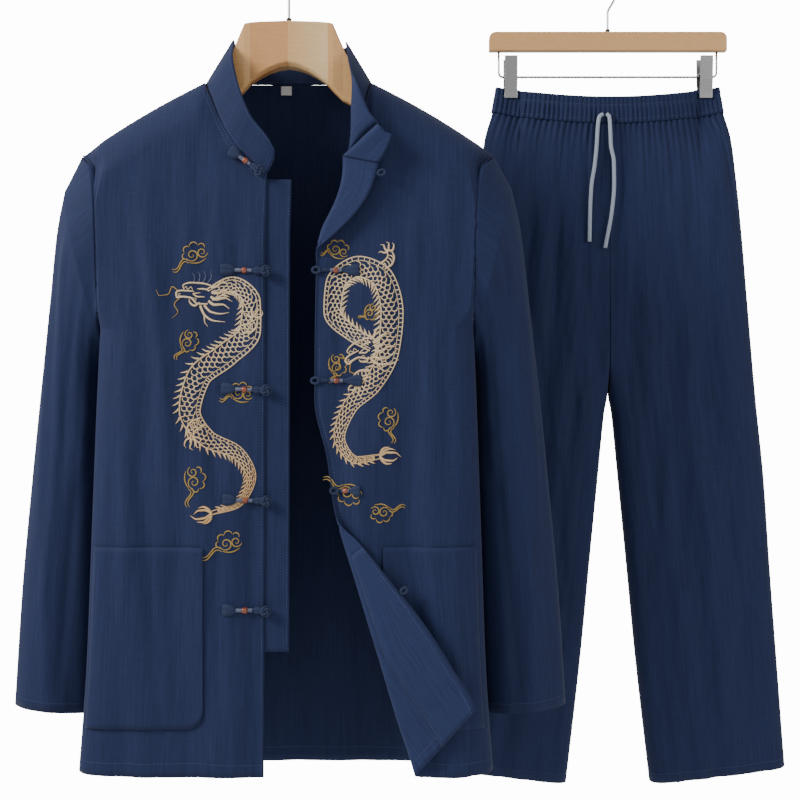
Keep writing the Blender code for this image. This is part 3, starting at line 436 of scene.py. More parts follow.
LEFT_FOLD = {
    "z": [-258, -292, -320, -348, -378, -534, -600, -654, -745, -830, -900, -930, -963],
    "x": [71, 58, 50, 41, 35, 33, 47, 56, 83, 109, 130, 140, 150],
    "turned": [37, 29, 20, 10, 0, 0, 0, 1, 26, 55, 73, 80, 85],
    "slip": [-10, -8, -5, -2, 0, 0, 0, 0, 18, 35, 49, 55, 60],
}
FOLD_RADIUS = 4.0
FOLDED_ANGLE = 174.0
BACK_BULGE = 2.5
FRONT_BULGE = 30.0
FRONT_FOLDS = {
    "x_top": [-150, -185, -95, 120, 165, 85, -60, 190],
    "z_top": [-330, -380, -580, -330, -380, -560, -600, -600],
    "x_end": [-120, -160, -70, 95, 185, 120, -55, 205],
    "z_end": [-690, -960, -963, -640, -960, -963, -940, -960],
    "half": [24, 20, 26, 24, 22, 20, 18, 18],
    "high": [5, 4, 6, 5, 4, 5, 3, 4],
}
BACK_FOLDS = {
    "x_top": [-140, -60, 70, 150, 10],
    "z_top": [-330, -420, -380, -340, -560],
    "x_end": [-110, -75, 95, 125, 15],
    "z_end": [-900, -963, -963, -880, -963],
    "half": [26, 24, 26, 24, 28],
    "high": [5, 6, 5, 5, 6],
}
# Smaller creases over the folds; a negative height is a trough.
FRONT_CREASES = {
    "x_top": [-165, -135, -112, -196, -80, -48, -176, -150, -100, 150, 130, 108, 180, 160, 140, 195, 72, 90],
    "z_top": [-300, -350, -300, -420, -700, -640, -560, -690, -520, -300, -360, -420, -450, -560, -640, -520,
              -560, -400],
    "x_end": [-140, -118, -104, -182, -66, -44, -140, -128, -84, 138, 110, 112, 196, 176, 158, 206, 96, 84],
    "z_end": [-520, -640, -470, -760, -955, -900, -820, -900, -700, -560, -640, -760, -800, -900, -955, -850,
              -760, -560],
    "half": [7, 8, 6, 9, 9, 7, 8, 7, 9, 8, 7, 9, 8, 9, 8, 7, 8, 6],
    "high": [1.7, -1.8, 1.2, 1.8, -1.6, 1.4, -1.5, 1.3, 1.2, 1.6, -1.7, 1.3, -1.5, 1.8, -1.4, 1.4, 1.6, -1.0],
}
BACK_CREASES = {
    "x_top": [-170, -120, -85, -30, 20, 50, 100, 135, 175, -150, 160, 0],
    "z_top": [-320, -300, -420, -380, -300, -520, -360, -440, -330, -620, -640, -700],
    "x_end": [-150, -108, -95, -38, 28, 62, 118, 128, 160, -160, 150, 5],
    "z_end": [-640, -560, -820, -700, -620, -930, -720, -900, -660, -960, -960, -960],
    "half": [8, 7, 9, 8, 7, 9, 8, 7, 8, 8, 9, 8],
    "high": [1.7, -1.5, 1.8, 1.4, -1.4, 1.7, 1.6, -1.6, 1.5, 1.4, -1.5, 1.6],
}
SIDE_SHARES = [0, 0.03, 0.06, 0.09, 0.12]
SIDE_TURN = [-25.0, 15.0, 50.0, 90.0]
SIDE_RADIUS = 25.0
RIGHT_SHARES = SIDE_SHARES + [0.2, 0.29, 0.38, 0.47, 0.56, 0.65, 0.7, 0.745, 0.805, 0.877, 0.945, 1]
LEFT_SHARES = SIDE_SHARES + [0.21, 0.31, 0.42, 0.53, 0.64, 0.74, 0.8412, 0.882, 0.912, 0.953, 1]
BACK_SHARES = SIDE_SHARES + [0.22, 0.34, 0.47, 0.5934, 0.64, 0.72, 0.86, 1]
FRONT_HEIGHTS = [0, 0.006, 0.026, 0.07, 0.125, 0.19, 0.25, 0.285, 0.314, 0.38, 0.47, 0.56, 0.65, 0.74,
                 0.83, 0.92, 1.0]
ARMPIT_ROW = 0.314
ACROSS = 4
DOWN = 8
BEND_STEPS = [0.2, 0.4, 0.6, 0.8, 1.0, 1.35, 1.7, 2.0]


def ease(at, start, end):
    """0 before start, 1 after end, smooth between."""
    t = np.clip((at - start) / (end - start), 0.0, 1.0)
    return t * t * (3 - 2 * t)


def rounded(distance, radius):
    """0 at an edge and 1 from one radius in, along a quarter circle."""
    t = np.clip(distance / radius, 0.0, 1.0)
    return np.sqrt(np.clip(1 - (1 - t)**2, 0.0, 1.0))


def finer(values, parts):
    """Each step of a list cut into equal parts."""
    at = np.arange(0, (len(values) - 1) * parts + 1) / parts
    return np.interp(at, np.arange(len(values)), values)


def fold_height(x, z, folds):
    """Sum of a table's ridges: each is high exp(-(distance / half)^2) across
    and eases in and out along its line."""
    total = np.zeros_like(x)
    names = ("x_top", "z_top", "x_end", "z_end", "half", "high")
    for x0, z0, x1, z1, half, high in zip(*(folds[name] for name in names)):
        t = (z - z0) / (z1 - z0)
        middle = x0 + (x1 - x0) * t
        along = ease(t, -0.05, 0.25) * (1 - ease(t, 0.85, 1.15))
        total += high * along * np.exp(-((x - middle) / half)**2)
    return total


def ripple(x, z, seed, across, along, height):
    """Slight unevenness: eight cosines of x and z with random phases, about
    one wave to each `across` sideways and to each `along` up and down."""
    chance = np.random.default_rng(seed)
    total = np.zeros_like(x)
    for _ in range(8):
        turns_x = chance.uniform(0.5, 1.4) / across
        turns_z = chance.uniform(-1.2, 1.2) / along
        total += np.cos(2 * math.pi * (turns_x * x + turns_z * z + chance.uniform()))
    return height * total / math.sqrt(8)


def front_relief(x, z):
    """Height of the fronts' cloth over their plain shape."""
    small = ripple(x, z, 11, 46, 300, 0.7) + ripple(x, z, 12, 17, 90, 0.2)
    return fold_height(x, z, FRONT_FOLDS) + fold_height(x, z, FRONT_CREASES) + small


def back_relief(x, z):
    """Height of the back's cloth over its plain shape."""
    small = ripple(x, z, 21, 50, 320, 0.7) + ripple(x, z, 22, 18, 90, 0.2)
    return fold_height(x, z, BACK_FOLDS) + fold_height(x, z, BACK_CREASES) + small


def grid_normals(points, closed=False):
    """Unit normals of a grid of points, columns cross rows."""
    if closed:
        across = np.roll(points, -1, axis=1) - np.roll(points, 1, axis=1)
    else:
        across = np.gradient(points, axis=1)
    down = np.gradient(points, axis=0)
    normal = np.cross(down, across)
    return normal / np.maximum(np.linalg.norm(normal, axis=2, keepdims=True), 1e-9)


def shoulder_z(x):
    """Height of the shoulder line, a little bowed, at a distance from the middle."""
    t = (x - NECK_POINT) / (SHOULDER_TIP - NECK_POINT)
    bow = SHOULDER_BOW * np.sin(math.pi * np.clip(t, 0, 1))
    return NECK_POINT_Z + (SHOULDER_TIP_Z - NECK_POINT_Z) * t + bow


def section(z, share, side, width, plane, edge):
    """Level section of a front or back: side seam, a turn of up to 25 mm
    radius, then a straight run at the plane's depth to the inner edge."""
    side_x = curve_value(z, side["z"], side["x"])
    side_y = curve_value(z, side["z"], side["y"])
    toward = np.sign(plane)
    room = np.abs(side_y - plane)
    radius = np.minimum(SIDE_RADIUS, room * 0.7 + 0.3)
    angle = np.radians(np.interp(share, SIDE_SHARES[1:], SIDE_TURN))
    angle = np.where(angle < 0, angle * ease(room, 30.0, 60.0), angle)
    turn_x = width - radius + radius * np.cos(angle)
    turn_y = plane - toward * radius + toward * radius * np.sin(angle)
    flat = (share - SIDE_SHARES[-1]) / (1 - SIDE_SHARES[-1])
    x = np.where(flat > 0, (width - radius) * (1 - flat) + edge * flat, turn_x)
    y = np.where(flat > 0, plane, turn_y)
    first = np.clip(share / SIDE_SHARES[1], 0, 1)
    x = np.where(first < 1, side_x + (x - side_x) * first, x)
    y = np.where(first < 1, side_y + (y - side_y) * first, y)
    return x, y


def body_panel(share, heights, top_x, top_z, top_y, side, edge_x, depth, hem_z, relief, mirror):
    """Grid of a front or back. Rows run from the top edge to the hem, columns
    from the side seam to the inner edge; the level section's shape takes over
    from the top edge's within 90 mm."""
    share = share[None, :] + np.zeros((len(heights), 1))
    t = heights[:, None] + np.zeros_like(share)
    z = top_z[None, :] * (1 - t) + hem_z[None, :] * t
    drop = top_z[None, :] - z
    plane = curve_value(z, BODY_DEPTH["z"], BODY_DEPTH[depth])
    side_x = curve_value(z, side["z"], side["x"])
    width = curve_value(z, BODY_WIDTH["z"], BODY_WIDTH["w"])
    most = side_x - 0.5 + (BACK_BULGE if depth == "back" else FRONT_BULGE) * ease(-z, 430, 500)
    width = np.minimum(width, most)
    x, y = section(z, share, side, width, plane, edge_x(z))
    settle = ease(drop, 0.0, 90.0)
    upper_x = top_x[None, -1:] + (side_x - top_x[None, -1:]) * (1 - share)
    x = np.where(share > 0, upper_x * (1 - settle) + x * settle, x)
    y = np.where(share > 0, top_y[None, :] + (y - top_y[None, :]) * rounded(drop, 55.0), y)
    toward = np.sign(BODY_DEPTH[depth][0])
    ridge = relief(mirror * x, z) * ease(share, 0.05, 0.2) * ease(drop, 30.0, 90.0)
    return np.stack([mirror * x, y + toward * ridge, z], axis=2)


def front_grid(mirror, inner_x, shares, neckline):
    """A front panel; inner_x gives the inner edge's place at each height."""
    top_x = SHOULDER_TIP + (neckline["x"][0] - SHOULDER_TIP) * shares
    on_shoulder = top_x >= NECK_POINT
    top_z = np.where(on_shoulder, shoulder_z(top_x), curve_value(top_x, neckline["x"], neckline["z"]))
    top_y = np.where(on_shoulder, 0.0, curve_value(top_x, neckline["x"], neckline["y"])) - SEAM
    hem_z = HEM_SIDE_Z + (HEM_FRONT_Z - HEM_SIDE_Z) * rounded(shares, 0.5)
    return body_panel(shares, finer(FRONT_HEIGHTS, DOWN), top_x, top_z, top_y, FRONT_SIDE, inner_x,
                      "front", hem_z, front_relief, mirror)


def left_front_grid():
    """Left front; past its fold line the cloth goes round a 4 mm bend and
    lies back flat, turned out at the neck and at the lower corner."""
    def inner_x(z):
        return curve_value(z, LEFT_FOLD["z"], LEFT_FOLD["x"]) + FOLD_RADIUS
    panel = front_grid(1, inner_x, finer(LEFT_SHARES, ACROSS), NECKLINE_LEFT)
    last = panel[:, -1]
    down = np.gradient(last, axis=0)
    down[:, 1] = 0
    down /= np.linalg.norm(down, axis=1, keepdims=True)
    out = np.stack([-down[:, 2], np.zeros(len(down)), down[:, 0]], axis=1)
    turned = curve_value(last[:, 2], LEFT_FOLD["z"], LEFT_FOLD["turned"])
    slip = curve_value(last[:, 2], LEFT_FOLD["z"], LEFT_FOLD["slip"])
    start = last - out * FOLD_RADIUS
    most = math.radians(FOLDED_ANGLE)
    length = 3.0 + turned * (1.0 + 2.14 * FOLD_RADIUS / np.maximum(turned, 12.0))
    steps = finer([0] + BEND_STEPS, 3)[1:]
    columns = []
    for step in steps:
        s = np.minimum(step * most * FOLD_RADIUS, length)
        past_bend = most * FOLD_RADIUS + (step - 1.0) * np.maximum(length - most * FOLD_RADIUS, 0)
        s = np.where(step > 1.0, past_bend, s)
        s = np.where(length < most * FOLD_RADIUS, length * step / steps[-1], s)
        angle = np.minimum(s / FOLD_RADIUS, most)
        past = np.maximum(s - most * FOLD_RADIUS, 0.0)
        inward = FOLD_RADIUS * np.sin(angle) + past * math.cos(most)
        forward = FOLD_RADIUS * (1 - np.cos(angle)) + past * math.sin(most)
        columns.append(start + out * (FOLD_RADIUS - inward)[:, None] - down * (slip * s / length)[:, None]
                       + np.outer(forward, (0, -1, 0)))
    return np.concatenate([panel, np.stack(columns, axis=1)], axis=1)


def back_grid():
    """Back panel: two halves that meet in the middle."""
    half = finer(BACK_SHARES, ACROSS)
    top_x = SHOULDER_TIP * (1 - half)
    bow = np.sqrt(np.clip(1 - (top_x / NECK_POINT)**2, 0, 1))
    top_z = np.where(top_x >= NECK_POINT, shoulder_z(top_x),
                     NECK_POINT_Z + (BACK_NECK_Z - NECK_POINT_Z) * bow)
    top_y = SEAM + BACK_NECK_Y * bow
    hem_z = HEM_SIDE_Z + (HEM_BACK_Z - HEM_SIDE_Z) * rounded(half, 0.4)
    halves = [body_panel(half, finer(FRONT_HEIGHTS, DOWN), top_x, top_z, top_y, BACK_SIDE,
                         lambda z: 0.0 * z, "back", hem_z, back_relief, mirror) for mirror in (-1, 1)]
    return np.concatenate([halves[0], halves[1][:, -2::-1]], axis=1)


def flat_places(points):
    """Flat coordinates in metres: the mean run across and the run down."""
    across = np.linalg.norm(np.diff(points, axis=1), axis=2)
    u = np.concatenate([np.zeros((len(points), 1)), np.cumsum(across, axis=1)], axis=1).mean(axis=0)
    down = np.linalg.norm(np.diff(points, axis=0), axis=2)
    v = np.concatenate([np.zeros((1, points.shape[1])), np.cumsum(down, axis=0)])
    return np.stack([u[None, :] + np.zeros_like(v), -v], axis=2) * MM


def hanging_places(points, fold=None):
    """Flat coordinates of a body panel in metres: its x and z, with the turn
    of the side rolled out. Past a fold column a point is mirrored in the
    fold line, where the cloth would lie if it were opened out."""
    step = np.linalg.norm(np.diff(points, axis=1), axis=2)
    place = points[:, :, [0, 2]].copy()
    turn = len(SIDE_SHARES) * ACROSS
    rolled = np.cumsum(step[:, turn - 1::-1], axis=1)[:, ::-1]
    way = np.sign(points[len(points) // 2, 0, 0])
    place[:, :turn, 0] = points[:, turn:turn + 1, 0] + way * rolled
    if fold is not None:
        line = points[:, fold][:, [0, 2]]
        along = np.gradient(line, axis=0)
        along /= np.linalg.norm(along, axis=1, keepdims=True)
        off = points[:, fold + 1:][:, :, [0, 2]] - line[:, None, :]
        square = np.stack([along[:, 1], -along[:, 0]], axis=1)[:, None, :]
        place[:, fold + 1:] -= 2 * np.sum(off * square, axis=2, keepdims=True) * square
    return place * MM


def cloth_piece(name, points, look, nodes, wall=WALL, closed=False,
                flip=False, places=None, inside=None):
    """Sheet of cloth through a grid of points, with its wall behind them."""
    rows, columns = points.shape[:2]
    whole = np.concatenate([points, points[:, :1]], axis=1) if closed else points
    uv = (flat_places(whole) if places is None else places).reshape(-1, 2)
    faces, flat = ringed(rows, columns) if closed else (cells(rows, columns), cells(rows, columns))
    if flip:
        faces = faces[:, ::-1]
        flat = flat[:, ::-1]
    made = put(name, points.reshape(-1, 3), faces.tolist(), uv[flat].reshape(-1, 2), look)
    solid = made.modifiers.new("wall", "SOLIDIFY")
    solid.thickness = wall * MM
    solid.offset = -1.0
    if inside is not None:
        made.data.materials.append(inside.material)
        solid.material_offset = 1
    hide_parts(*nodes)
    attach(made, "root")
    return made


right_front = front_grid(-1, lambda z: FRONT_EDGE + 0 * z, finer(RIGHT_SHARES, ACROSS), NECKLINE_RIGHT)
left_front = left_front_grid()
back = back_grid()
cloth_piece("jacket_front_right", right_front, navy, ["front_right"],
            places=hanging_places(right_front))
cloth_piece("jacket_front_left", left_front, navy, ["front_left", "facing_upper"],
            flip=True, places=hanging_places(left_front, (len(LEFT_SHARES) - 1) * ACROSS + 4),
            inside=inner_navy)
cloth_piece("jacket_back", back, navy, ["back"], flip=True,
            places=back[:, :, [0, 2]] * MM)


# Sleeves
# One-piece sleeves sewn into the armholes. They hang flat and a little away
# from the body, with long creases from the shoulder and soft ones at the elbow.
SLEEVE = {
    "x_out": [263, 274, 285, 298, 310, 320, 329],
    "z_out": [-287, -335, -420, -530, -650, -760, -897],
    "x_in": [214, 218, 220, 219, 221, 225, 231],
    "z_in": [-480, -492, -515, -570, -672, -775, -906],
    "deep": [50, 47, 43, 41, 39, 37, 36],
    "mid_y": [6, 12, 18, 21, 22, 22, 22],
}
# Creases of a sleeve: x is the angle round it in degrees, 90 in front.
SLEEVE_CREASES = {
    "x_top": [60, 100, 130, 35, 85, 115, 250, 290, 220, 320, 270, 70],
    "z_top": [-330, -380, -430, -400, -520, -600, -340, -400, -480, -420, -560, -700],
    "x_end": [75, 85, 120, 60, 70, 100, 265, 275, 235, 300, 250, 85],
    "z_end": [-560, -640, -620, -700, -800, -890, -600, -700, -760, -760, -880, -895],
    "half": [9, 8, 8, 10, 9, 8, 10, 9, 9, 10, 9, 8],
    "high": [2.4, -1.8, 2.0, 1.8, 1.8, -1.6, 2.2, -1.8, 2.0, 1.7, 1.8, 1.5],
}
# Short slanting creases at the elbow, in the same measures.
ELBOW_CREASES = {
    "x_top": [50, 70, 100, 60, 120],
    "z_top": [-560, -600, -575, -520, -545],
    "x_end": [125, 130, 150, 110, 160],
    "z_end": [-600, -650, -610, -545, -575],
    "half": [30, 30, 26, 26, 24],
    "high": [1.1, -1.0, 1.0, -0.9, 0.9],
}
SLEEVE_ROWS = 12


def sleeve_grid(mirror, front_edge, back_edge, seed):
    """Sleeve from the armhole's own points through the rings of its table.
    A ring is centre + cos a (half width) with depth sin a, and folds are
    added square to the cloth from 60 mm below the armhole."""
    tip = 0.5 * (front_edge[0] + back_edge[0])
    pit = 0.5 * (front_edge[-1] + back_edge[-1])
    loop = np.concatenate([[tip], front_edge[1:-1], [pit], back_edge[-2:0:-1]])
    half = len(front_edge) - 1
    down = run_length(np.concatenate([[tip], front_edge[1:-1], [pit]]))
    up = run_length(np.concatenate([[pit], back_edge[-2:0:-1], [tip]]))
    angle = math.pi * np.concatenate([down[:half] / down[-1], 1 + up[:half] / up[-1]])
    away = loop - loop.mean(axis=0)
    away[:, 0] = 0
    away /= np.linalg.norm(away, axis=1, keepdims=True)
    high = np.clip(np.cos(angle), 0, 1)**2
    off = 0.5 + 0.7 * high
    first = loop + np.outer(mirror * off, (1, 0, 0)) - np.outer(2.4 * off * high, (0, 0, 1)) + 0.4 * away
    count = len(SLEEVE["deep"])
    at = finer(np.arange(count), SLEEVE_ROWS)
    x_out, z_out, x_in, z_in, deep, mid_y = (curve_value(at, np.arange(count), SLEEVE[name]) for name in
                                             ("x_out", "z_out", "x_in", "z_in", "deep", "mid_y"))
    centre = np.stack([(x_out + x_in) / 2, mid_y, (z_out + z_in) / 2], axis=1)
    reach = np.stack([(x_out - x_in) / 2, 0 * at, (z_out - z_in) / 2], axis=1)
    rings = centre[:, None, :] + np.cos(angle)[None, :, None] * reach[:, None, :]
    rings[:, :, 1] -= deep[:, None] * np.sin(angle)[None, :]
    rings[:, :, 0] *= mirror
    share = np.linspace(0, 1, SLEEVE_ROWS + 1)[:-1, None, None]
    upper = first[None] * (1 - share) + rings[:1] * share
    grid = np.concatenate([upper, rings])
    degrees = np.degrees(angle)[None, :] + np.zeros(grid.shape[:2])
    z = grid[:, :, 2]
    folds = fold_height(degrees, z, SLEEVE_CREASES)
    slant = fold_height(z * 1.0, degrees, {"x_top": ELBOW_CREASES["z_top"], "z_top": ELBOW_CREASES["x_top"],
                                           "x_end": ELBOW_CREASES["z_end"], "z_end": ELBOW_CREASES["x_end"],
                                           "half": [8, 9, 8, 8, 7], "high": ELBOW_CREASES["high"]})
    chance = np.random.default_rng(seed)
    waves = sum(np.cos(n * np.radians(degrees) + z / chance.uniform(60, 140) + chance.uniform(0, 6))
                for n in (3, 5, 7, 9))
    low = ease(np.arange(len(grid)) / SLEEVE_ROWS, 0.6, 1.8)[:, None]
    height = (folds + slant + 0.35 * waves) * low * (1 - 0.75 * np.abs(np.cos(np.radians(degrees)))**6)
    normal = grid_normals(grid, closed=True)
    normal *= np.sign(np.sum(normal * (grid - grid.mean(axis=1, keepdims=True)), axis=2))[:, :, None]
    return grid + normal * height[:, :, None]


armhole = FRONT_HEIGHTS.index(ARMPIT_ROW) * DOWN + 1
sleeve_right = sleeve_grid(-1, right_front[:armhole, 0], back[:armhole, 0], 5)
sleeve_left = sleeve_grid(1, left_front[:armhole, 0], back[:armhole, -1], 6)
cloth_piece("jacket_sleeve_right", sleeve_right, navy, ["sleeve_right"], closed=True)
cloth_piece("jacket_sleeve_left", sleeve_left, navy, ["sleeve_left"], closed=True,
            flip=True)


# Stand collar
# A band of two layers sewn to the neck edge, stiff enough to stand. Its left
# end is turned out with the left front.
COLLAR_WALL = 1.6
TRIM_GAP = 0.5
NECK_GAP = 0.12
NECK_CENTRE = np.array([0.0, 0.0, -100.0])
COLLAR = {
    "foot": [(-21, -46, -276), (-33, -46, -269), (-48, -44, -255), (-64, -38, -234),
             (-77, -29, -210), (-87, -18, -186), (-95, -7, -169), (-98, 2, -162),
             (-90, 18, -157), (-66, 35, -153), (-34, 43, -152), (0, 45, -151.5),
             (34, 43, -152), (66, 35, -153), (90, 18, -157), (98, 2, -162),
             (95, -8, -170), (88, -22, -189), (80, -35, -213), (73, -46, -237),
             (70, -55, -256), (84, -61, -263), (103, -65, -278)],
    "middle": [(-13.5, -48, -262), (-25, -49, -252), (-40, -47, -237), (-54, -42, -217),
               (-65, -33, -194), (-74, -22, -168), (-81, -10, -149), (-84, 2, -139),
               (-80, 21, -134), (-61, 38, -131), (-32, 45.5, -130.5), (0, 47.5, -130),
               (32, 45.5, -130.5), (61, 38, -131), (80, 21, -134), (84, 2, -139),
               (83, -11, -150), (77, -26, -171), (73, -42, -193), (77, -53, -216),
               (91, -61, -239), (102, -65, -251), (112, -68, -263)],
    "top": [(-12, -49, -250), (-20, -51, -236), (-33, -49, -220), (-44, -44, -200),
            (-53, -35, -176), (-60, -24, -148), (-64, -11, -124), (-66, 2, -110),
            (-66, 24, -109), (-54, 41, -108.5), (-30, 48, -108), (0, 50, -108),
            (30, 48, -108), (54, 41, -108.5), (66, 24, -109), (67, 2, -111),
            (70, -13, -132), (73, -29, -156), (81, -48, -178), (93, -59, -202),
            (110, -67, -223), (117, -70, -235), (118, -71, -247)],
}
COLLAR_ROWS = 15


def neck_edge(panel, first, last):
    """Points just off a panel's neck edge, in the plane of its cloth."""
    edge = panel[0]
    tangent = np.gradient(edge, axis=0)
    off = np.cross(grid_normals(panel)[0], tangent)
    off /= np.linalg.norm(off, axis=1, keepdims=True)
    off *= np.sign(np.sum(off * (NECK_CENTRE - edge), axis=1))[:, None]
    off = np.stack([np.convolve(np.pad(off[:, axis], 5, mode="edge"), np.ones(11) / 11, mode="valid")
                    for axis in range(3)], axis=1)
    return (edge + off * NECK_GAP)[first:last]


def collar_grid():
    """Collar on the neck edge: foot, middle and top lines joined by a parabola."""
    right_neck = RIGHT_SHARES.index(0.65) * ACROSS
    left_neck = LEFT_SHARES.index(0.8412) * ACROSS
    back_neck = BACK_SHARES.index(0.5934) * ACROSS
    point_right = 0.5 * (right_front[0, right_neck] + back[0, back_neck])
    point_left = 0.5 * (left_front[0, left_neck] + back[0, -1 - back_neck])
    lift = np.array([0, 0, 1.4 * NECK_GAP])
    foot = np.concatenate([neck_edge(right_front, right_neck + 2, None)[::-1], [point_right + lift],
                           neck_edge(back, back_neck + 2, -2 - back_neck), [point_left + lift],
                           neck_edge(left_front, left_neck + 2, None)])
    share = run_length(foot) / run_length(foot)[-1]
    table = {key: np.array(COLLAR[key], float) for key in COLLAR}
    known = run_length(table["foot"]) / run_length(table["foot"])[-1]
    middle, top = (foot + np.stack([curve_value(share, known, (table[key] - table["foot"])[:, axis])
                                    for axis in range(3)], axis=1) for key in ("middle", "top"))
    rows = [foot * (1 - t) * (1 - 2 * t) + 4 * middle * t * (1 - t) + top * t * (2 * t - 1)
            for t in np.linspace(1, 0, COLLAR_ROWS)]
    return np.stack(rows)


collar = collar_grid()
cloth_piece("jacket_collar", collar, navy, ["collar"], wall=COLLAR_WALL, flip=True,
            inside=inner_navy)


# Patch pockets, facings, underlap and label
# Two large patch pockets with a rounded inner corner. The facing inside the
# left front shows where it is turned out. A strip behind the right edge
# reaches past it. A small bare woven label is sewn in the back of the neck.
POCKET_TOP_Z = -703.0
POCKET_BOTTOM_Z = -908.0
POCKET_CORNER = 20.0
POCKET_INNER = 92.0
POCKET_INNER_LEFT = 112.0
POCKET_GAP = 1.3
FACING_WIDTH = 60.0
UNDERLAP_TOP_Z = -284.0
UNDERLAP_BOTTOM_Z = -822.0
UNDERLAP_REACH = 28.0


def outward_normals(grid):
    """Normals of a body panel that point away from the wearer."""
    normal = grid_normals(grid)
    middle = (len(grid) // 2, ACROSS * (len(SIDE_SHARES) + 2))
    return normal * np.sign(normal[middle][1] * grid[middle][1])


def at_place(grid, column, z):
    """Point of a panel at a fractional column and a height."""
    low = min(int(column), grid.shape[1] - 2)
    part = column - low
    line = grid[:, low] * (1 - part) + grid[:, low + 1] * part
    return np.array([np.interp(-z, -line[:, 2], line[:, axis]) for axis in range(3)])


def pocket_grid(panel, mirror, main, inner_edge):
    """Patch pocket on a front, lifted off it, its inner lower corner rounded."""
    lifted = panel + outward_normals(panel) * POCKET_GAP
    side = len(SIDE_SHARES) * ACROSS
    steps = 34
    levels = np.linspace(POCKET_TOP_Z, POCKET_BOTTOM_Z, steps)
    inner_columns = []
    for level in levels:
        places = np.array([-mirror * at_place(lifted, c, level)[0] for c in range(side, main)])
        inner_columns.append(side + np.interp(-inner_edge(level), places, np.arange(main - side)))
    whole = int(min(inner_columns))
    rows = []
    for t, level, inner in zip(np.linspace(0, 1, steps), levels, inner_columns):
        edge = inner_edge(level)
        first = (len(SIDE_SHARES) - 2) * ACROSS
        last = whole + (inner - whole) * finer([0, 0.4, 0.75, 0.92, 1], 4)[1:]
        row = []
        for column in list(range(first, whole + 1)) + list(last):
            x = mirror * at_place(lifted, column, level)[0]
            near = np.clip((POCKET_CORNER - (x - edge)) / POCKET_CORNER, 0, 1)
            rise = POCKET_CORNER * (1 - np.sqrt(1 - near**2))
            row.append(at_place(lifted, column, level + rise * t))
        rows.append(row)
    return np.array(rows)


def facing_grid(first_row, last_row):
    """Facing on the turned-out part of the left front, on its inner side."""
    inner = left_front - outward_normals(left_front) * (WALL + TRIM_GAP)
    last = left_front.shape[1] - 1
    first = last - 9
    rows = []
    for r in range(first_row, last_row):
        flat = np.linalg.norm(left_front[r, last] - left_front[r, first])
        start = max(first + 0.6, last - 9 * FACING_WIDTH / flat)
        row = []
        for column in np.linspace(start, last - 0.15, 10):
            low = int(column)
            row.append(inner[r, low] * (1 - column + low) + inner[r, low + 1] * (column - low))
        rows.append(row)
    return np.array(rows)


def underlap_grid():
    """Strip behind the right front's edge that reaches past it."""
    main = (len(RIGHT_SHARES) - 1) * ACROSS
    rows = []
    for z in np.linspace(UNDERLAP_TOP_Z, UNDERLAP_BOTTOM_Z, 110):
        near = at_place(right_front, main - 2 * ACROSS, z)
        edge = at_place(right_front, main, z)
        depth = max(near[1], edge[1]) + WALL + TRIM_GAP
        xs = np.concatenate([np.linspace(near[0], edge[0], 4)[:-1],
                             np.linspace(edge[0], edge[0] + UNDERLAP_REACH, 12)])
        past = np.clip((xs - edge[0]) / UNDERLAP_REACH, 0, 1)
        wave = 0.5 * past * (1 - math.cos(z / 23.0)) + 0.3 * past * (1 - math.cos(z / 9.0))
        rows.append(np.stack([xs, depth + wave, z + 0 * xs], axis=1))
    return np.array(rows)


def left_pocket_edge(z):
    """Inner edge of the left pocket: its own line, or just past the fold."""
    return max(POCKET_INNER_LEFT, 8 + float(curve_value(z, LEFT_FOLD["z"], LEFT_FOLD["x"])))


pocket_right = pocket_grid(right_front, -1, right_front.shape[1], lambda z: POCKET_INNER)
pocket_left = pocket_grid(left_front, 1, (len(LEFT_SHARES) - 1) * ACROSS + 1, left_pocket_edge)
facing_lower = facing_grid((len(FRONT_HEIGHTS) - 5) * DOWN, (len(FRONT_HEIGHTS) - 1) * DOWN + 1)
underlap = underlap_grid()
cloth_piece("jacket_pocket_right", pocket_right, navy, ["pocket_right"], flip=True)
cloth_piece("jacket_pocket_left", pocket_left, navy, ["pocket_left"])
cloth_piece("jacket_facing_lower", facing_lower, inner_navy, ["facing_lower"],
            flip=True)
cloth_piece("jacket_underlap", underlap, navy, ["underlap"])
label_look = Look("woven_label", (0.75, 0.75, 0.74), 0.7)
label_look.bump(label_look.noise(label_look.cloth_place((1200, 2600, 1))), 0.0002, 0.8)
label_y = BACK_NECK_Y - WALL - 1.0
label_x, label_z = np.meshgrid(np.linspace(-13.5, -0.5, 14), np.linspace(-155, -166, 12))
label = np.stack([label_x, label_y - 0.4 * np.sin((label_z + 155) / 11 * math.pi), label_z], axis=2)
cloth_piece("jacket_size_label", label, label_look, ["size_label"], wall=0.5,
            flip=True)


# Trousers
# Straight-leg trousers of the same cloth. Front and back panels meet at the
# sides and inseams, and are gathered into an elastic waistband.
LEG_CENTRE = 405.6
LEG_Y = 170.0
WAIST_TOP_Z = -122.0
WAIST_CHANNEL_Z = -133.0
WAIST_SEAM_Z = -157.0
WAIST_HALF = 147.0
WAIST_SEAM_HALF = 153.0
WAIST_PINCH = 2.4
WAIST_CLIP = 116.0
WAIST_DROP = 18.0
WAIST_DEPTH = 21.0
LEG_DEPTH = 20.0
LEG_SEAM = 0.35
WAIST_GATHERS = 100
LEG_GATHERS = 20
GATHER_HEIGHT = 1.5
LEG_HEM_OUTER = -1017.0
LEG_HEM_INNER = -1039.0
LEG_OUTER = {
    "z": [-158, -191, -237, -328, -401, -536, -637, -738, -873, -1017],
    "x": [153, 162.6, 168.6, 177.6, 183.7, 195.2, 205.5, 212.3, 222.3, 233.2],
}
LEG_INNER = {
    "z": [-158, -480, -530, -553, -637, -738, -873, -1039],
    "x": [0.4, 0.4, 1.2, 4.6, 13, 23, 36, 55],
}
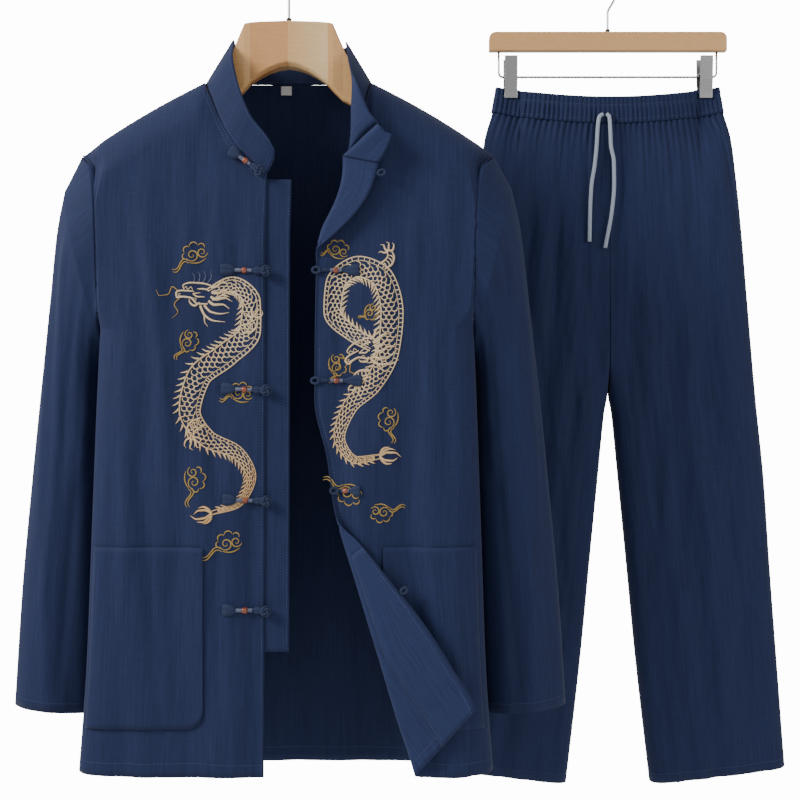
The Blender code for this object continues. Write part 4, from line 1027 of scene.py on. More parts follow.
LEG_FOLDS = {
    "x_top": [40, 85, 125, 60, 110, 90],
    "z_top": [-190, -200, -200, -420, -560, -700],
    "x_end": [50, 110, 165, 95, 165, 120],
    "z_end": [-520, -640, -600, -960, -1030, -1030],
    "half": [14, 16, 14, 18, 16, 20],
    "high": [4, 4, 4, 4, 5, 4],
}
LEG_CREASES = {
    "x_top": [20, 30, 55, 70, 98, 110, 140, 148, 30, 80, 120, 60, 150],
    "z_top": [-165, -165, -165, -170, -165, -170, -165, -175, -500, -560, -700, -760, -640],
    "x_end": [24, 38, 66, 84, 112, 132, 158, 168, 60, 100, 150, 90, 180],
    "z_end": [-380, -300, -430, -330, -460, -360, -380, -320, -760, -860, -960, -1010, -900],
    "half": [5, 5, 6, 5, 6, 6, 5, 5, 8, 8, 9, 8, 8],
    "high": [1.6, -1.4, 1.9, 1.6, -1.6, 1.8, 1.5, -1.4, 1.4, -1.4, 1.6, 1.3, -1.3],
}
LEG_HEIGHTS = [0, 0.012, 0.04, 0.12, 0.27, 0.42, 0.455, 0.62, 0.8, 1.0]


def leg_section(u, z, outer, inner):
    """Half depth of the trousers at a distance u from the middle: an ellipse
    at the waist that opens into a flat tube with rounded sides."""
    open_share = ease(-z, 130, 260)
    bow = np.sqrt(np.clip(1 - (u / WAIST_CLIP)**2, 0, 1))
    at_top = WAIST_PINCH + (WAIST_DEPTH - WAIST_PINCH) * bow
    depth = at_top * (1 - open_share) + LEG_DEPTH * open_share
    inner_turn = ease(-z, 480, 553)
    profile_in = 1 - inner_turn * (1 - rounded(u - inner, 22.0))
    return depth * rounded(outer - u, 5.0 + 17.0 * open_share) * profile_in


def waist_drop(u, toward):
    """How far the waist hangs below its sides."""
    most = WAIST_DROP if toward < 0 else 0.5 * WAIST_DROP
    return most * np.clip(1 - (u / 150.0)**2, 0, 1)


LEG_ROWS = 15


def leg_grid(side, toward, gathers, seed):
    """Front or back panel of one leg, from the waist seam to the hem. side is
    -1 for the wearer's right and toward -1 for the front. The gathers are
    cosine waves that fade out below the seam."""
    even = np.linspace(0, 1, 2 * gathers * (4 if gathers > 10 else 8) + 1)
    share = np.concatenate([[0, 0.003, 0.008], even[(even > 0.011) & (even < 0.989)], [0.992, 0.997, 1]])
    share = share[None, :] + np.zeros(((len(LEG_HEIGHTS) - 1) * LEG_ROWS + 1, 1))
    t = finer(LEG_HEIGHTS, LEG_ROWS)[:, None] + np.zeros_like(share)
    z = WAIST_SEAM_Z * (1 - t) + (LEG_HEM_OUTER + (LEG_HEM_INNER - LEG_HEM_OUTER) * share) * t
    outer = curve_value(z, LEG_OUTER["z"], LEG_OUTER["x"])
    inner = curve_value(z, LEG_INNER["z"], LEG_INNER["x"])
    u = outer * (1 - share) + inner * share
    depth = leg_section(u, z, outer, inner)
    level = z
    z = z - waist_drop(u, toward) * (1 - ease(t, 0, 0.4))
    chance = np.random.default_rng(seed)
    reach = 0.02 + 0.075 * np.interp(share[0], np.linspace(0, 1, gathers + 1), chance.uniform(0, 1, gathers + 1))**2
    wave = np.cos(2 * math.pi * gathers * share)
    edge = rounded(outer - u, 12.0) * rounded(u - inner, 14.0)
    fade = GATHER_HEIGHT * np.exp(-t / reach[None, :]) * edge
    ridge = (fold_height(u, level, LEG_FOLDS) + fold_height(u, level, LEG_CREASES)) * rounded(outer - u, 30.0)
    ridge += (ripple(u, level, seed, 40, 260, 0.7) + ripple(u, level, seed + 50, 15, 80, 0.2)) * edge
    ridge = ridge * (1 - ease(-level, 400, 560) * (1 - rounded(u - inner, 30.0)))
    seam = LEG_SEAM + 0.5 * (1 - ease(-level, 130, 260))
    y = LEG_Y + toward * (seam + depth + wave * fade + ridge)
    return np.stack([LEG_CENTRE + side * u, y, z], axis=2)


legs = {}
for side, word in ((-1, "right"), (1, "left")):
    for toward, panel, gathers in ((-1, "front", LEG_GATHERS), (1, "back", LEG_GATHERS // 2)):
        grid = leg_grid(side, toward, gathers, 31 + side + 4 * toward)
        legs[panel, word] = grid
        cloth_piece(f"trousers_{panel}_{word}", grid, navy, [f"trouser_{panel}_{word}"],
                    flip=side * toward < 0)


# Waistband
# A casing of the same cloth over an elastic, 35 mm wide, drawn into about a
# hundred small gathers, with a row of stitching a third of the way down.
def waistband_grid():
    """Closed band: outer face from the seam up, over the top and down inside.
    Its outer points carry a cosine wave, pressed in at the stitched row."""
    count = WAIST_GATHERS
    fine = count * 8
    place = np.linspace(-1, 1, fine + 1)
    rings = []
    heights = [0.0, 2.0, 5.0, 9.0, 13.0, 17.0, 20.0, 22.5, 24.0, 25.5, 28.0, 31.0, 33.5, 35.0]
    bottom = WAIST_SEAM_Z + TRIM_GAP
    levels = [(bottom + h, 1.4 - 0.5 * math.exp(-((h - 24.0) / 1.6)**2), 0.35 + 0.75 * min(1.0, abs(h - 24.0) / 5.0)
               * (0.55 + 0.45 * math.cos((h - 12.0) / 14.0))) for h in heights if bottom + h < WAIST_TOP_Z]
    levels += [(WAIST_TOP_Z, 1.3, 0.7), (WAIST_TOP_Z + 0.3, 0.5, 0.4), (WAIST_TOP_Z, -0.5, 0.2),
               (WAIST_CHANNEL_Z, -0.6, 0.0), (bottom + 6.0, -0.6, 0.0), (bottom + 3.0, -2.4, 0.0),
               (bottom - 5.0, -3.2, 0.0), (bottom - 5.0, -2.6, 0.0), (bottom + 0.2, -2.0, 0.0)]
    chance = np.random.default_rng(9)
    uneven = np.interp(np.arange(fine) / 8.0, np.arange(count + 1), chance.uniform(0.55, 1.25, count + 1))
    for z, out, wave in levels:
        down = (WAIST_TOP_Z - z) / (WAIST_TOP_Z - WAIST_SEAM_Z)
        half = WAIST_HALF + (WAIST_SEAM_HALF - WAIST_HALF) * down
        ring = []
        for toward, line in ((-1, place[:-1]), (1, place[:0:-1])):
            u = line * half
            depth = leg_section(np.abs(u), z + 0 * u, half, -100.0)
            turn = rounded(half - np.abs(u), 3.0)
            gather = -np.cos(math.pi * np.arange(fine) / 8.0) * wave * turn * uneven
            x = LEG_CENTRE + u + np.sign(u) * out * (1 - turn)
            y = LEG_Y + toward * np.maximum(depth + out * turn + gather + 0.25 * turn, 0.3 * turn)
            ring.append(np.stack([x, y, z - waist_drop(np.abs(u), toward)], axis=1))
        rings.append(np.concatenate(ring))
    return np.stack(rings + rings[:1])


band = waistband_grid()
band_rows, band_columns = band.shape[:2]
band_faces, band_flat = ringed(band_rows, band_columns)
band_whole = np.concatenate([band, band[:, :1]], axis=1)
waistband = put("trouser_waistband", band.reshape(-1, 3), band_faces.tolist(),
                flat_places(band_whole).reshape(-1, 2)[band_flat].reshape(-1, 2), navy)
band_build = bmesh.new()
band_build.from_mesh(waistband.data)
bmesh.ops.remove_doubles(band_build, verts=band_build.verts, dist=0.00001)
bmesh.ops.recalc_face_normals(band_build, faces=band_build.faces)
band_build.to_mesh(waistband.data)
band_build.free()
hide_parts("waistband")
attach(waistband, "root")

# Topstitching
# Single rows of a thread a little lighter than the cloth: hems, cuffs, collar
# and neck edge, shoulders, right front edge, pockets and the waistband.
STITCH_PITCH = 3.3
STITCH_LENGTH = 2.3
STITCH_WIDTH = 0.5
thread_look = Look("sewing_thread", (0.060, 0.085, 0.19), 0.6, Sheen_Weight=0.2)
thread_look.drive("Roughness", thread_look.noise(thread_look.object_place((900, 900, 900))) * 0.3 + 0.45)


def stitch_parts(path, normals, pitch=STITCH_PITCH, length=STITCH_LENGTH, crosswise=False):
    """Stitches along a line on cloth: each is a thin spindle of six points,
    two sunk ends and four round its middle, that stands 0.25 mm proud."""
    run = run_length(path)
    at = np.arange(pitch, run[-1] - pitch / 2, pitch)
    centre, normal, ahead = (np.stack([np.interp(place, run, line[:, axis]) for axis in range(3)], axis=1)
                             for place, line in ((at, path), (at, normals), (at + 0.5, path)))
    along = ahead - centre
    along /= np.maximum(np.linalg.norm(along, axis=1, keepdims=True), 1e-6)
    side = np.cross(normal, along)
    if crosswise:
        along, side = side, along
    half = side * STITCH_WIDTH / 2
    points = np.stack([centre - along * length / 2 - normal * 0.1, centre + along * length / 2 - normal * 0.1,
                       centre + half, centre + normal * 0.25, centre - half, centre - normal * 0.1], axis=1)
    shape = np.array([(0, 2, 3), (0, 3, 4), (0, 4, 5), (0, 5, 2), (1, 3, 2), (1, 4, 3), (1, 5, 4), (1, 2, 5)])
    faces = (shape[None] + 6 * np.arange(len(at))[:, None, None]).reshape(-1, 3)
    return points.reshape(-1, 3), faces.tolist(), np.zeros((faces.size, 2))


def front_line(panel, rows, columns, inner=False):
    """Stitches along some rows or columns of a body panel."""
    normal = outward_normals(panel)
    lift = -WALL if inner else 0.0
    line = (panel + normal * lift)[rows, columns]
    return stitch_parts(line, normal[rows, columns] * (-1 if inner else 1))


def lined(panel, rows, columns, toward, lift=0.0, **options):
    """Stitches along a line of any panel, on the side that faces `toward`."""
    normal = grid_normals(panel)[rows, columns]
    normal = normal * np.sign(np.sum(normal * np.asarray(toward, float), axis=1))[:, None]
    return stitch_parts(panel[rows, columns] + normal * lift, normal, **options)


EVERY = slice(None)
right_neck = RIGHT_SHARES.index(0.65) * ACROSS
left_neck = LEFT_SHARES.index(0.8412) * ACROSS
left_main = (len(LEFT_SHARES) - 1) * ACROSS
jacket_stitches = [
    front_line(right_front, -3, EVERY),
    front_line(left_front, -3, slice(0, left_main + 1)),
    front_line(left_front, -3, slice(left_main + 12, -1), inner=True),
    front_line(back, -3, EVERY),
    front_line(back, -3, EVERY, inner=True),
    front_line(right_front, 10, slice(1, right_neck)),
    front_line(left_front, 10, slice(1, left_neck)),
    front_line(right_front, 6, slice(right_neck, None)),
    front_line(right_front, 12, slice(right_neck, None)),
    front_line(left_front, 6, slice(left_neck, left_main)),
    front_line(right_front, slice(6, None), -2),
    front_line(left_front, slice(8 * DOWN, 12 * DOWN), left_main - 1),
    lined(pocket_right, 3, EVERY, (0, -1, 0)),
    lined(pocket_right, EVERY, -4, (0, -1, 0)),
    lined(pocket_right, -2, EVERY, (0, -1, 0)),
    lined(pocket_left, 3, EVERY, (0, -1, 0)),
    lined(pocket_left, EVERY, -4, (0, -1, 0)),
    lined(pocket_left, -2, EVERY, (0, -1, 0)),
    lined(facing_lower, EVERY, 0, (0, -1, 0), lift=0.1, pitch=1.7, length=3.0, crosswise=True),
    lined(facing_lower, EVERY, 8, (0, -1, 0), lift=WALL),
    lined(underlap, EVERY, -2, (0, -1, 0)),
]
for row in (1, -2):
    normal = grid_normals(collar)[row]
    normal = normal * np.sign(np.sum(normal * (collar[row] - collar[row].mean(axis=0)), axis=1))[:, None]
    jacket_stitches.append(stitch_parts(collar[row], normal))
    jacket_stitches.append(stitch_parts(collar[row] - normal * COLLAR_WALL, -normal))
for grid in (sleeve_right, sleeve_left):
    ring = np.concatenate([grid[-2], grid[-2, :1]])
    away = ring - ring.mean(axis=0)
    away[:, 1] *= 4
    away /= np.linalg.norm(away, axis=1, keepdims=True)
    jacket_stitches.append(stitch_parts(ring, away))
trouser_stitches = [lined(legs[panel, word], -2, EVERY, (0, -1 if panel == "front" else 1, 0))
                    for panel in ("front", "back") for word in ("right", "left")]
front_half = band.shape[1] // 2
for first, toward in ((0, -1), (front_half, 1)):
    for ring in (8, 2):
        line = band[ring, first:first + front_half]
        trouser_stitches.append(stitch_parts(line, np.array([[0.0, toward, 0.0]]) + 0 * line))
for word in ("right", "left"):
    grid = legs["front", word]
    rows = np.arange(4, 58)
    columns = np.interp(rows, [4, 57], [22, 3]).astype(int)
    for shift in (0, 2):
        line = grid[rows, columns + shift]
        trouser_stitches.append(stitch_parts(line, np.array([[0.0, -1.0, 0.0]]) + 0 * line))
for name, parts in (("jacket_topstitching", jacket_stitches), ("trouser_topstitching", trouser_stitches)):
    stitches = joined(name, parts, thread_look)
    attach(stitches, "root")


# Frog closings
# Bias strips of the navy cloth rolled into cord. Each half has a flat
# fishtail and a neck bound with pale thread on both sides of an amber bead.
# The right halves end in a knotted ball and the left ones in a loop.
FROG_Z = [-278, -387, -523, -649, -773]
LOOP_X = [104, 31, 30, 52, 133]
LOOP_Z = [-281, -388, -514, -639, -753]
FROG_LENGTH = [46, 58, 57, 54, 54]
LOOP_LENGTH = [0, 54, 58, 34, 0]
FISHTAIL = {
    "s": [0, 0.02, 0.1, 0.2, 0.27, 0.31, 0.6, 0.65, 0.71, 0.78, 0.86],
    "high": [4.6, 6.4, 6.7, 5.6, 3.4, 1.7, 1.6, 2.6, 4.3, 4.0, 3.2],
    "deep": [1.4, 2.4, 2.8, 2.8, 2.4, 1.8, 1.7, 2.3, 3.0, 3.2, 3.2],
}
LOOP_TAIL = {
    "s": [0.12, 0.2, 0.36, 0.6, 0.66, 0.74, 0.88, 0.97, 1.0],
    "high": [2.6, 2.3, 1.7, 1.6, 2.4, 4.0, 6.6, 6.4, 4.6],
    "deep": [1.6, 1.8, 1.8, 1.7, 2.0, 2.5, 2.8, 2.4, 1.4],
}
frog_look = woven_cloth("frog_cord", (0.010, 0.016, 0.040), (0.024, 0.036, 0.086))
binding_look = Look("binding_thread", (0.075, 0.088, 0.15), 0.45, Sheen_Weight=0.2)
binding_look.bump(binding_look.noise(binding_look.object_place((2600, 300, 300))), 0.0003, 0.8)
bead_look = Look("amber_bead", (0.20, 0.045, 0.016), 0.3, Coat_Weight=0.5, Coat_Roughness=0.1)
bead_look.drive("Base Color", bead_look.ramp(bead_look.noise(bead_look.object_place((260, 260, 260)), 3.0),
                                             [(0.35, (0.13, 0.026, 0.012)), (0.7, (0.30, 0.075, 0.026))]))


def front_y(x, z):
    """Depth of the fronts' outer face at a place, away from their edges."""
    return curve_value(z, BODY_DEPTH["z"], BODY_DEPTH["front"]) - front_relief(x, z)


def loft_parts(s, high, deep, groove):
    """Soft bar along s: each section is h = high cos a, d = deep sin a, with
    a groove along its middle where two cords lie side by side."""
    sides = 24
    angle = np.linspace(0, 2 * math.pi, sides, endpoint=False)
    dip = 1 - groove * np.exp(-(np.cos(angle) / 0.16)**2)
    h = high[:, None] * np.cos(angle)[None, :]
    d = deep[:, None] * np.maximum(np.sin(angle) * dip, -0.3)[None, :]
    faces, flat = ringed(len(s), sides)
    uv = np.stack(np.meshgrid(s * MM, np.linspace(0, 0.02, sides + 1), indexing="ij"), axis=-1).reshape(-1, 2)
    caps = [list(range(sides)), list(range(len(s) * sides - 1, (len(s) - 1) * sides - 1, -1))]
    uv = np.concatenate([uv[flat].reshape(-1, 2), np.zeros((2 * sides, 2))])
    points = np.stack([s[:, None] + 0 * h, h, d], axis=2).reshape(-1, 3)
    return points, faces.tolist() + caps, uv


def bar(table, length, groove=0.45):
    """A half of a frog from its table of sections."""
    s = np.linspace(table["s"][0], table["s"][-1], 60)
    high = curve_value(s, table["s"], table["high"])
    deep = curve_value(s, table["s"], table["deep"])
    return loft_parts(s * length, high, deep, groove)


def bound(start, end):
    """Turns of thread round the neck, each a small ridge."""
    s = np.linspace(start, end, int((end - start) * 10))
    ridge = 2.05 + 0.22 * np.abs(np.sin(math.pi * (s - start) / 0.8))
    return loft_parts(s, ridge, ridge * 1.05, 0.0)


def bead(centre, half, radius):
    """Barrel bead: radius times the root of a semicircle along its length."""
    t = np.linspace(-1, 1, 21)
    r = radius * (1 - np.abs(t)**3.0)**0.5 + 0.05
    return loft_parts(centre + half * t, r, r * 1.1, 0.0)


def ball_knot(centre):
    """Knotted ball: a cord that runs three times round a ring while it turns
    four times about the ring's core, so that its strands cross."""
    t = np.linspace(0, 2 * math.pi, 220)
    r = 3.3 + 2.0 * np.cos(4 * t)
    path = np.stack([centre + r * np.cos(3 * t), r * np.sin(3 * t), 3.2 + 2.0 * np.sin(4 * t)], axis=1)
    return tube_parts(path, 1.5, 10, (0.0, 0.0, 1.0))


def cord_ring(centre, reach, high, radius):
    """Loop of rolled cord, an ellipse that lies flat."""
    t = np.linspace(0, 2 * math.pi, 60)
    path = np.stack([centre + reach * np.cos(t), high * np.sin(t), 1.6 + 0 * t], axis=1)
    return tube_parts(path, radius, 10, (0.0, 0.0, 1.0))


def laid(parts, start, slope, base):
    """Parts moved from their own s, h, d to the jacket: s runs from start
    along the slope, h is square to it and d comes forward from base."""
    moved = []
    for points, faces, uv in parts:
        s, h, d = points.T
        x = start[0] + s * slope[0] - h * slope[1]
        z = start[1] + s * slope[1] + h * slope[0]
        moved.append((np.stack([x, base(s) - d, z], axis=1), faces, uv))
    return moved


def on_front(start, z, length, last):
    """Depth of the cloth under a frog, smoothed over its width; past the
    cloth's edge it keeps the edge's depth."""
    s = np.linspace(-2, length + 8, 60)
    x = np.minimum(start + s, last)
    depth = np.minimum(front_y(x, z - 5 + 0 * x), front_y(x, z + 5 + 0 * x))
    depth = np.minimum(depth, front_y(x, z + 0 * x)) - 1.1
    smooth = np.convolve(np.pad(depth, 4, mode="edge"), np.ones(9) / 9, mode="valid")
    return lambda at: np.interp(at, s, smooth)


def frog(name, node, groups, start, slope, base):
    """One half of a frog: its cord stands for the CAD node, and the binding
    and the bead are pieces of their own on it."""
    for look, parts, word in groups:
        if not parts:
            continue
        piece = joined(f"{name}{word}", laid(parts, start, slope, base), look)
        if not word:
            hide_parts(node)
        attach(piece, "root")


for number, (z, length) in enumerate(zip(FROG_Z, FROG_LENGTH), start=1):
    cord = [bar(FISHTAIL, length), ball_knot(0.91 * length)]
    thread = [bound(0.29 * length, 0.41 * length), bound(0.53 * length, 0.62 * length)]
    beads = [bead(0.47 * length, 3.6, 3.4)]
    groups = [(frog_look, cord, ""), (binding_look, thread, "_binding"), (bead_look, beads, "_bead")]
    if number == 1:
        slope = np.array([34.0, -24.0]) / math.hypot(34, 24)
        frog("frog_right_1", "frog_button_1", groups, (-63, -251), slope, lambda s: -48.4 + 0 * s)
    else:
        start = -FRONT_EDGE - length + 7
        slope = np.array([1.0, -0.04])
        frog(f"frog_right_{number}", f"frog_button_{number}", groups, (start, z), slope,
             on_front(start, z, length, -FRONT_EDGE))
for number in (2, 3, 4):
    x, z, length = LOOP_X[number - 1], LOOP_Z[number - 1], LOOP_LENGTH[number - 1]
    cord = [bar(LOOP_TAIL, length), cord_ring(4.4, 4.2, 3.3, 1.5)]
    thread = [bound(0.38 * length, 0.44 * length), bound(0.55 * length, 0.62 * length)]
    beads = [bead(0.495 * length, 3.4, 3.3)]
    base = on_front(x, z, length, 1000)
    frog(f"frog_left_{number}", f"frog_loop_{number}",
         [(frog_look, cord, ""), (binding_look, thread, "_binding"), (bead_look, beads, "_bead")],
         (x, z), np.array([1.0, 0.0]), base)
for number, off, direction in ((1, 2.3, (0.95, 0.3)), (5, 0.7, (0.69, 0.72))):
    edge = left_front[:, -1]
    place = np.array([np.interp(-LOOP_Z[number - 1], -edge[:, 2], edge[:, axis]) for axis in range(3)])
    slope = np.array(direction) / math.hypot(*direction)
    depth = float(place[1])
    frog(f"frog_left_{number}", f"frog_loop_{number}", [(frog_look, [cord_ring(4.4, 4.0, 3.0, 1.4)], "")],
         (place[0] + off * direction[0], place[2] + off * direction[1]), slope, lambda s: depth + 0.4 + 0 * s)


# Embroidery
# Satin stitch in thick ivory and gold thread on both fronts. The photo's own
# picture isn't copied: these are two plain traditional dragons with round
# clouds, worked out from a curved spine, scale arcs and spirals. Every stroke
# is a padded ribbon whose threads run across it.
ivory_look = Look("ivory_satin_stitch", (0.62, 0.46, 0.25), 0.45, Sheen_Weight=0.3)
gold_look = Look("gold_satin_stitch", (0.30, 0.17, 0.02), 0.4, Sheen_Weight=0.2)
violet_look = Look("violet_satin_stitch", (0.030, 0.038, 0.12), 0.45, Sheen_Weight=0.3)
# Stops run from the middle of a stroke to its edge. Ivory and orange are the threads' own colours, and the dark
# brown at the very edge is painted shade where the raised stroke meets the cloth. The gold is the thread's own dark
# olive gold, with a painted highlight along its middle and painted shade at its edge.
IVORY_AND_EDGE_SHADE_STOPS = [(0.0, (0.72, 0.60, 0.40)), (0.55, (0.62, 0.44, 0.22)), (1.0, (0.22, 0.09, 0.018))]
ORANGE_AND_EDGE_SHADE_STOPS = [(0.0, (0.66, 0.46, 0.22)), (0.5, (0.56, 0.30, 0.09)), (1.0, (0.20, 0.075, 0.012))]
GOLD_HIGHLIGHT_AND_SHADE_STOPS = [(0.0, (0.42, 0.28, 0.04)), (0.5, (0.26, 0.155, 0.018)), (1.0, (0.05, 0.028, 0.004))]
for look in (ivory_look, gold_look, violet_look):
    stitch_along, stitch_across, _ = look.split(look.cloth_place((1, 1, 1)))
    from_middle = abs(stitch_across - 0.5) * 2.0
    strands = (stitch_along * 13000.0 + stitch_across * 2.2).sine() * 0.5 + 0.5
    uneven = look.noise(look.object_place((420, 420, 420)))
    # Darker towards a stroke's edges, unevenly: the threads' own colours with painted shade at the edge, and a
    # painted highlight in the middle of the gold strokes.
    edge = from_middle * 0.8 + uneven * 0.35 - 0.1
    if look is ivory_look:
        _, _, height = look.split(look.object_place((1, 1, 1)))
        low = look.noise(look.object_place((34, 34, 34))) * 0.9 - (height + 0.52) * 5.0 - 0.25
        low = look.node("ShaderNodeClamp", {}, {0: low})
        look.drive("Base Color", look.mix(low, look.ramp(edge, IVORY_AND_EDGE_SHADE_STOPS), look.ramp(edge, ORANGE_AND_EDGE_SHADE_STOPS)))
    elif look is gold_look:
        look.drive("Base Color", look.ramp(edge, GOLD_HIGHLIGHT_AND_SHADE_STOPS))
    look.drive("Roughness", strands * 0.2 + 0.36)
    look.bump(strands, 0.0003, 0.7)


def ribbons(strokes, proud):
    """Points, faces and places of all strokes. A stroke is a line of x, z
    with a width at each point. Across it the ribbon is half an ellipse on the
    cloth; its underside is a line just inside the cloth."""
    across = np.array([-1.0, -0.7, 0.0, 0.7, 1.0, 0.0])
    lift = np.array([0.0, 0.75, 1.0, 0.75, 0.0, -0.2])
    parts = []
    for path, width in strokes:
        along = np.gradient(path, axis=0)
        along /= np.maximum(np.linalg.norm(along, axis=1, keepdims=True), 1e-6)
        side = np.stack([-along[:, 1], along[:, 0]], axis=1)
        half = np.maximum(np.asarray(width) * np.ones(len(path)), 0.12) / 2
        place = path[:, None, :] + side[:, None, :] * (half[:, None] * across[None, :])[:, :, None]
        tall = np.minimum(proud, half * 0.9)[:, None] * lift[None, :]
        y = front_y(place[:, :, 0], place[:, :, 1]) - 0.1 - tall
        faces, flat = ringed(len(path), 6)
        u = run_length(path) * MM
        v = np.array([0.0, 0.15, 0.5, 0.85, 1.0, 0.5, 0.0])
        uv = np.stack(np.meshgrid(u, v, indexing="ij"), axis=-1).reshape(-1, 2)
        points = np.stack([place[:, :, 0], y, place[:, :, 1]], axis=2).reshape(-1, 3)
        parts.append((points, faces.tolist(), uv[flat].reshape(-1, 2)))
    return parts


def stroke(points, start, middle, end, spacing=1.1):
    """Smooth line through points whose width runs start, middle, end."""
    path = smooth_path(points, spacing)
    t = np.linspace(0, 1, len(path))
    return path, start * (1 - t) * (1 - 2 * t) + 4 * middle * t * (1 - t) + end * t * (2 * t - 1)


def turned(points, place, degrees, size, flip=1):
    """Points of a motif, sized, flipped, turned and put in its place."""
    points = np.asarray(points, float) * size * np.array([1, flip])
    c, s = math.cos(math.radians(degrees)), math.sin(math.radians(degrees))
    return points @ np.array([[c, s], [-s, c]]) + np.asarray(place, float)


def spiral(turns, first, inner, start):
    """Spiral from radius first in to radius inner."""
    t = np.linspace(0, 1, 26)
    angle = math.radians(start) + 2 * math.pi * turns * t
    radius = first + (inner - first) * t
    return np.stack([radius * np.cos(angle), radius * np.sin(angle)], axis=1)


def cloud(place, degrees, size, flip=1, tail=1.0):
    """Round cloud: three lobes, two spirals and a waving double tail."""
    lines = [spiral(1.5, 1.0, 0.15, 200) + (-0.2, 0.2), spiral(-1.4, 0.85, 0.15, -20) + (1.35, 0.25)]
    lines += [np.stack([cx + r * np.cos(a), cz + r * np.sin(a)], axis=1)
              for cx, cz, r, a in ((-0.75, 1.15, 0.55, np.linspace(3.6, 0.6, 14)),
                                   (0.35, 1.45, 0.62, np.linspace(2.9, 0.2, 14)),
                                   (1.45, 1.1, 0.5, np.linspace(2.5, -0.5, 14)),
                                   (-1.25, 0.3, 0.45, np.linspace(5.0, 1.6, 12)))]
    t = np.linspace(0, 1, 30)
    for shift in (0.0, 0.42):
        lines.append(np.stack([-1.0 - 3.4 * tail * t, -0.75 - shift + 0.75 * np.sin(5.2 * t + 0.4) * (1 - 0.4 * t)],
                              axis=1))
    lines.append(np.stack([-0.9 + 2.6 * t, -0.8 - 0.35 * np.sin(math.pi * t)], axis=1))
    return [stroke(turned(line, place, degrees, size, flip), 0.9, 1.9, 0.7) for line in lines]


HEAD_LINES = [
    ([(0.0, 0.30), (0.30, 0.36), (0.56, 0.22), (0.80, 0.24), (0.98, 0.30), (1.04, 0.16), (0.90, 0.06), (0.5, 0.0)],
     2.0, 2.6, 1.6),
    ([(0.02, -0.30), (0.35, -0.30), (0.68, -0.24), (0.88, -0.10), (0.82, 0.0)], 2.0, 2.4, 1.2),
    ([(0.55, -0.03), (0.62, -0.12), (0.70, -0.02), (0.78, -0.10), (0.84, 0.02)], 0.8, 1.1, 0.6),
    ([(0.86, 0.22), (0.94, 0.24), (0.95, 0.17), (0.89, 0.16)], 0.9, 1.2, 0.6),
    ([(0.26, 0.30), (0.38, 0.44), (0.54, 0.38), (0.60, 0.28)], 1.2, 2.8, 0.8),
    ([(0.14, 0.10), (0.34, 0.14), (0.50, 0.08), (0.30, 0.0)], 1.0, 2.2, 0.8),
    ([(0.02, -0.12), (0.22, -0.14), (0.42, -0.10)], 1.0, 2.4, 0.8),
    ([(0.22, 0.40), (0.02, 0.66), (-0.30, 0.78), (-0.66, 0.74)], 3.2, 2.6, 0.5),
    ([(0.04, 0.62), (-0.02, 0.86), (-0.16, 1.0)], 2.2, 1.6, 0.4),
    ([(0.10, 0.36), (-0.14, 0.52), (-0.46, 0.52), (-0.72, 0.42)], 3.0, 2.4, 0.5),
    ([(0.0, 0.20), (-0.22, 0.28), (-0.46, 0.22), (-0.70, 0.30)], 3.4, 3.0, 0.5),
    ([(-0.04, 0.06), (-0.26, 0.10), (-0.48, 0.0), (-0.74, 0.06)], 3.4, 3.0, 0.5),
    ([(-0.04, -0.08), (-0.24, -0.10), (-0.44, -0.22), (-0.68, -0.18)], 3.4, 3.0, 0.5),
    ([(0.0, -0.22), (-0.16, -0.30), (-0.30, -0.46), (-0.52, -0.46)], 3.2, 2.8, 0.5),
]
WHISKERS = [
    ([(0.96, 0.10), (1.20, 0.0), (1.28, 0.26), (1.52, 0.36), (1.66, 0.20)], 1.5, 1.4, 0.5),
    ([(0.90, 0.30), (1.02, 0.54), (0.86, 0.74), (1.0, 0.98)], 1.5, 1.3, 0.5),
]
BEARD = [
    ([(0.28, -0.34), (0.24, -0.54), (0.36, -0.72)], 1.8, 1.5, 0.4),
    ([(0.42, -0.33), (0.42, -0.52), (0.54, -0.66)], 1.8, 1.5, 0.4),
    ([(0.56, -0.30), (0.58, -0.46), (0.70, -0.56)], 1.6, 1.3, 0.4),
    ([(0.14, -0.34), (0.06, -0.56), (0.14, -0.78)], 1.8, 1.5, 0.4),
]
LEG_LINES = [
    ([(0.0, 0.22), (0.5, 0.30), (0.86, 0.10), (1.0, -0.22)], 2.4, 2.6, 1.8),
    ([(0.0, -0.20), (0.4, -0.14), (0.66, -0.20), (0.80, -0.38)], 2.2, 2.2, 1.6),
    ([(0.16, 0.20), (0.22, 0.0), (0.18, -0.16)], 1.2, 1.6, 0.9),
    ([(0.36, 0.24), (0.42, 0.04), (0.36, -0.12)], 1.2, 1.6, 0.9),
    ([(0.56, 0.24), (0.62, 0.04), (0.56, -0.14)], 1.2, 1.6, 0.9),
    ([(0.76, 0.14), (0.80, -0.04), (0.70, -0.20)], 1.2, 1.6, 0.9),
    ([(0.90, -0.30), (1.14, -0.26), (1.34, -0.40), (1.36, -0.56)], 2.8, 2.2, 0.4),
    ([(0.88, -0.34), (1.02, -0.50), (1.20, -0.66), (1.14, -0.84)], 2.8, 2.2, 0.4),
    ([(0.84, -0.36), (0.82, -0.60), (0.92, -0.80), (0.80, -0.96)], 2.8, 2.2, 0.4),
    ([(0.80, -0.34), (0.62, -0.48), (0.54, -0.66), (0.38, -0.70)], 2.6, 2.0, 0.4),
]


def motif(lines, place, degrees, size, flip=1):
    """Strokes of a list of lines with their widths, put in place."""
    return [stroke(turned(points, place, degrees, size, flip), *widths, spacing=0.9) for points, *widths in lines]


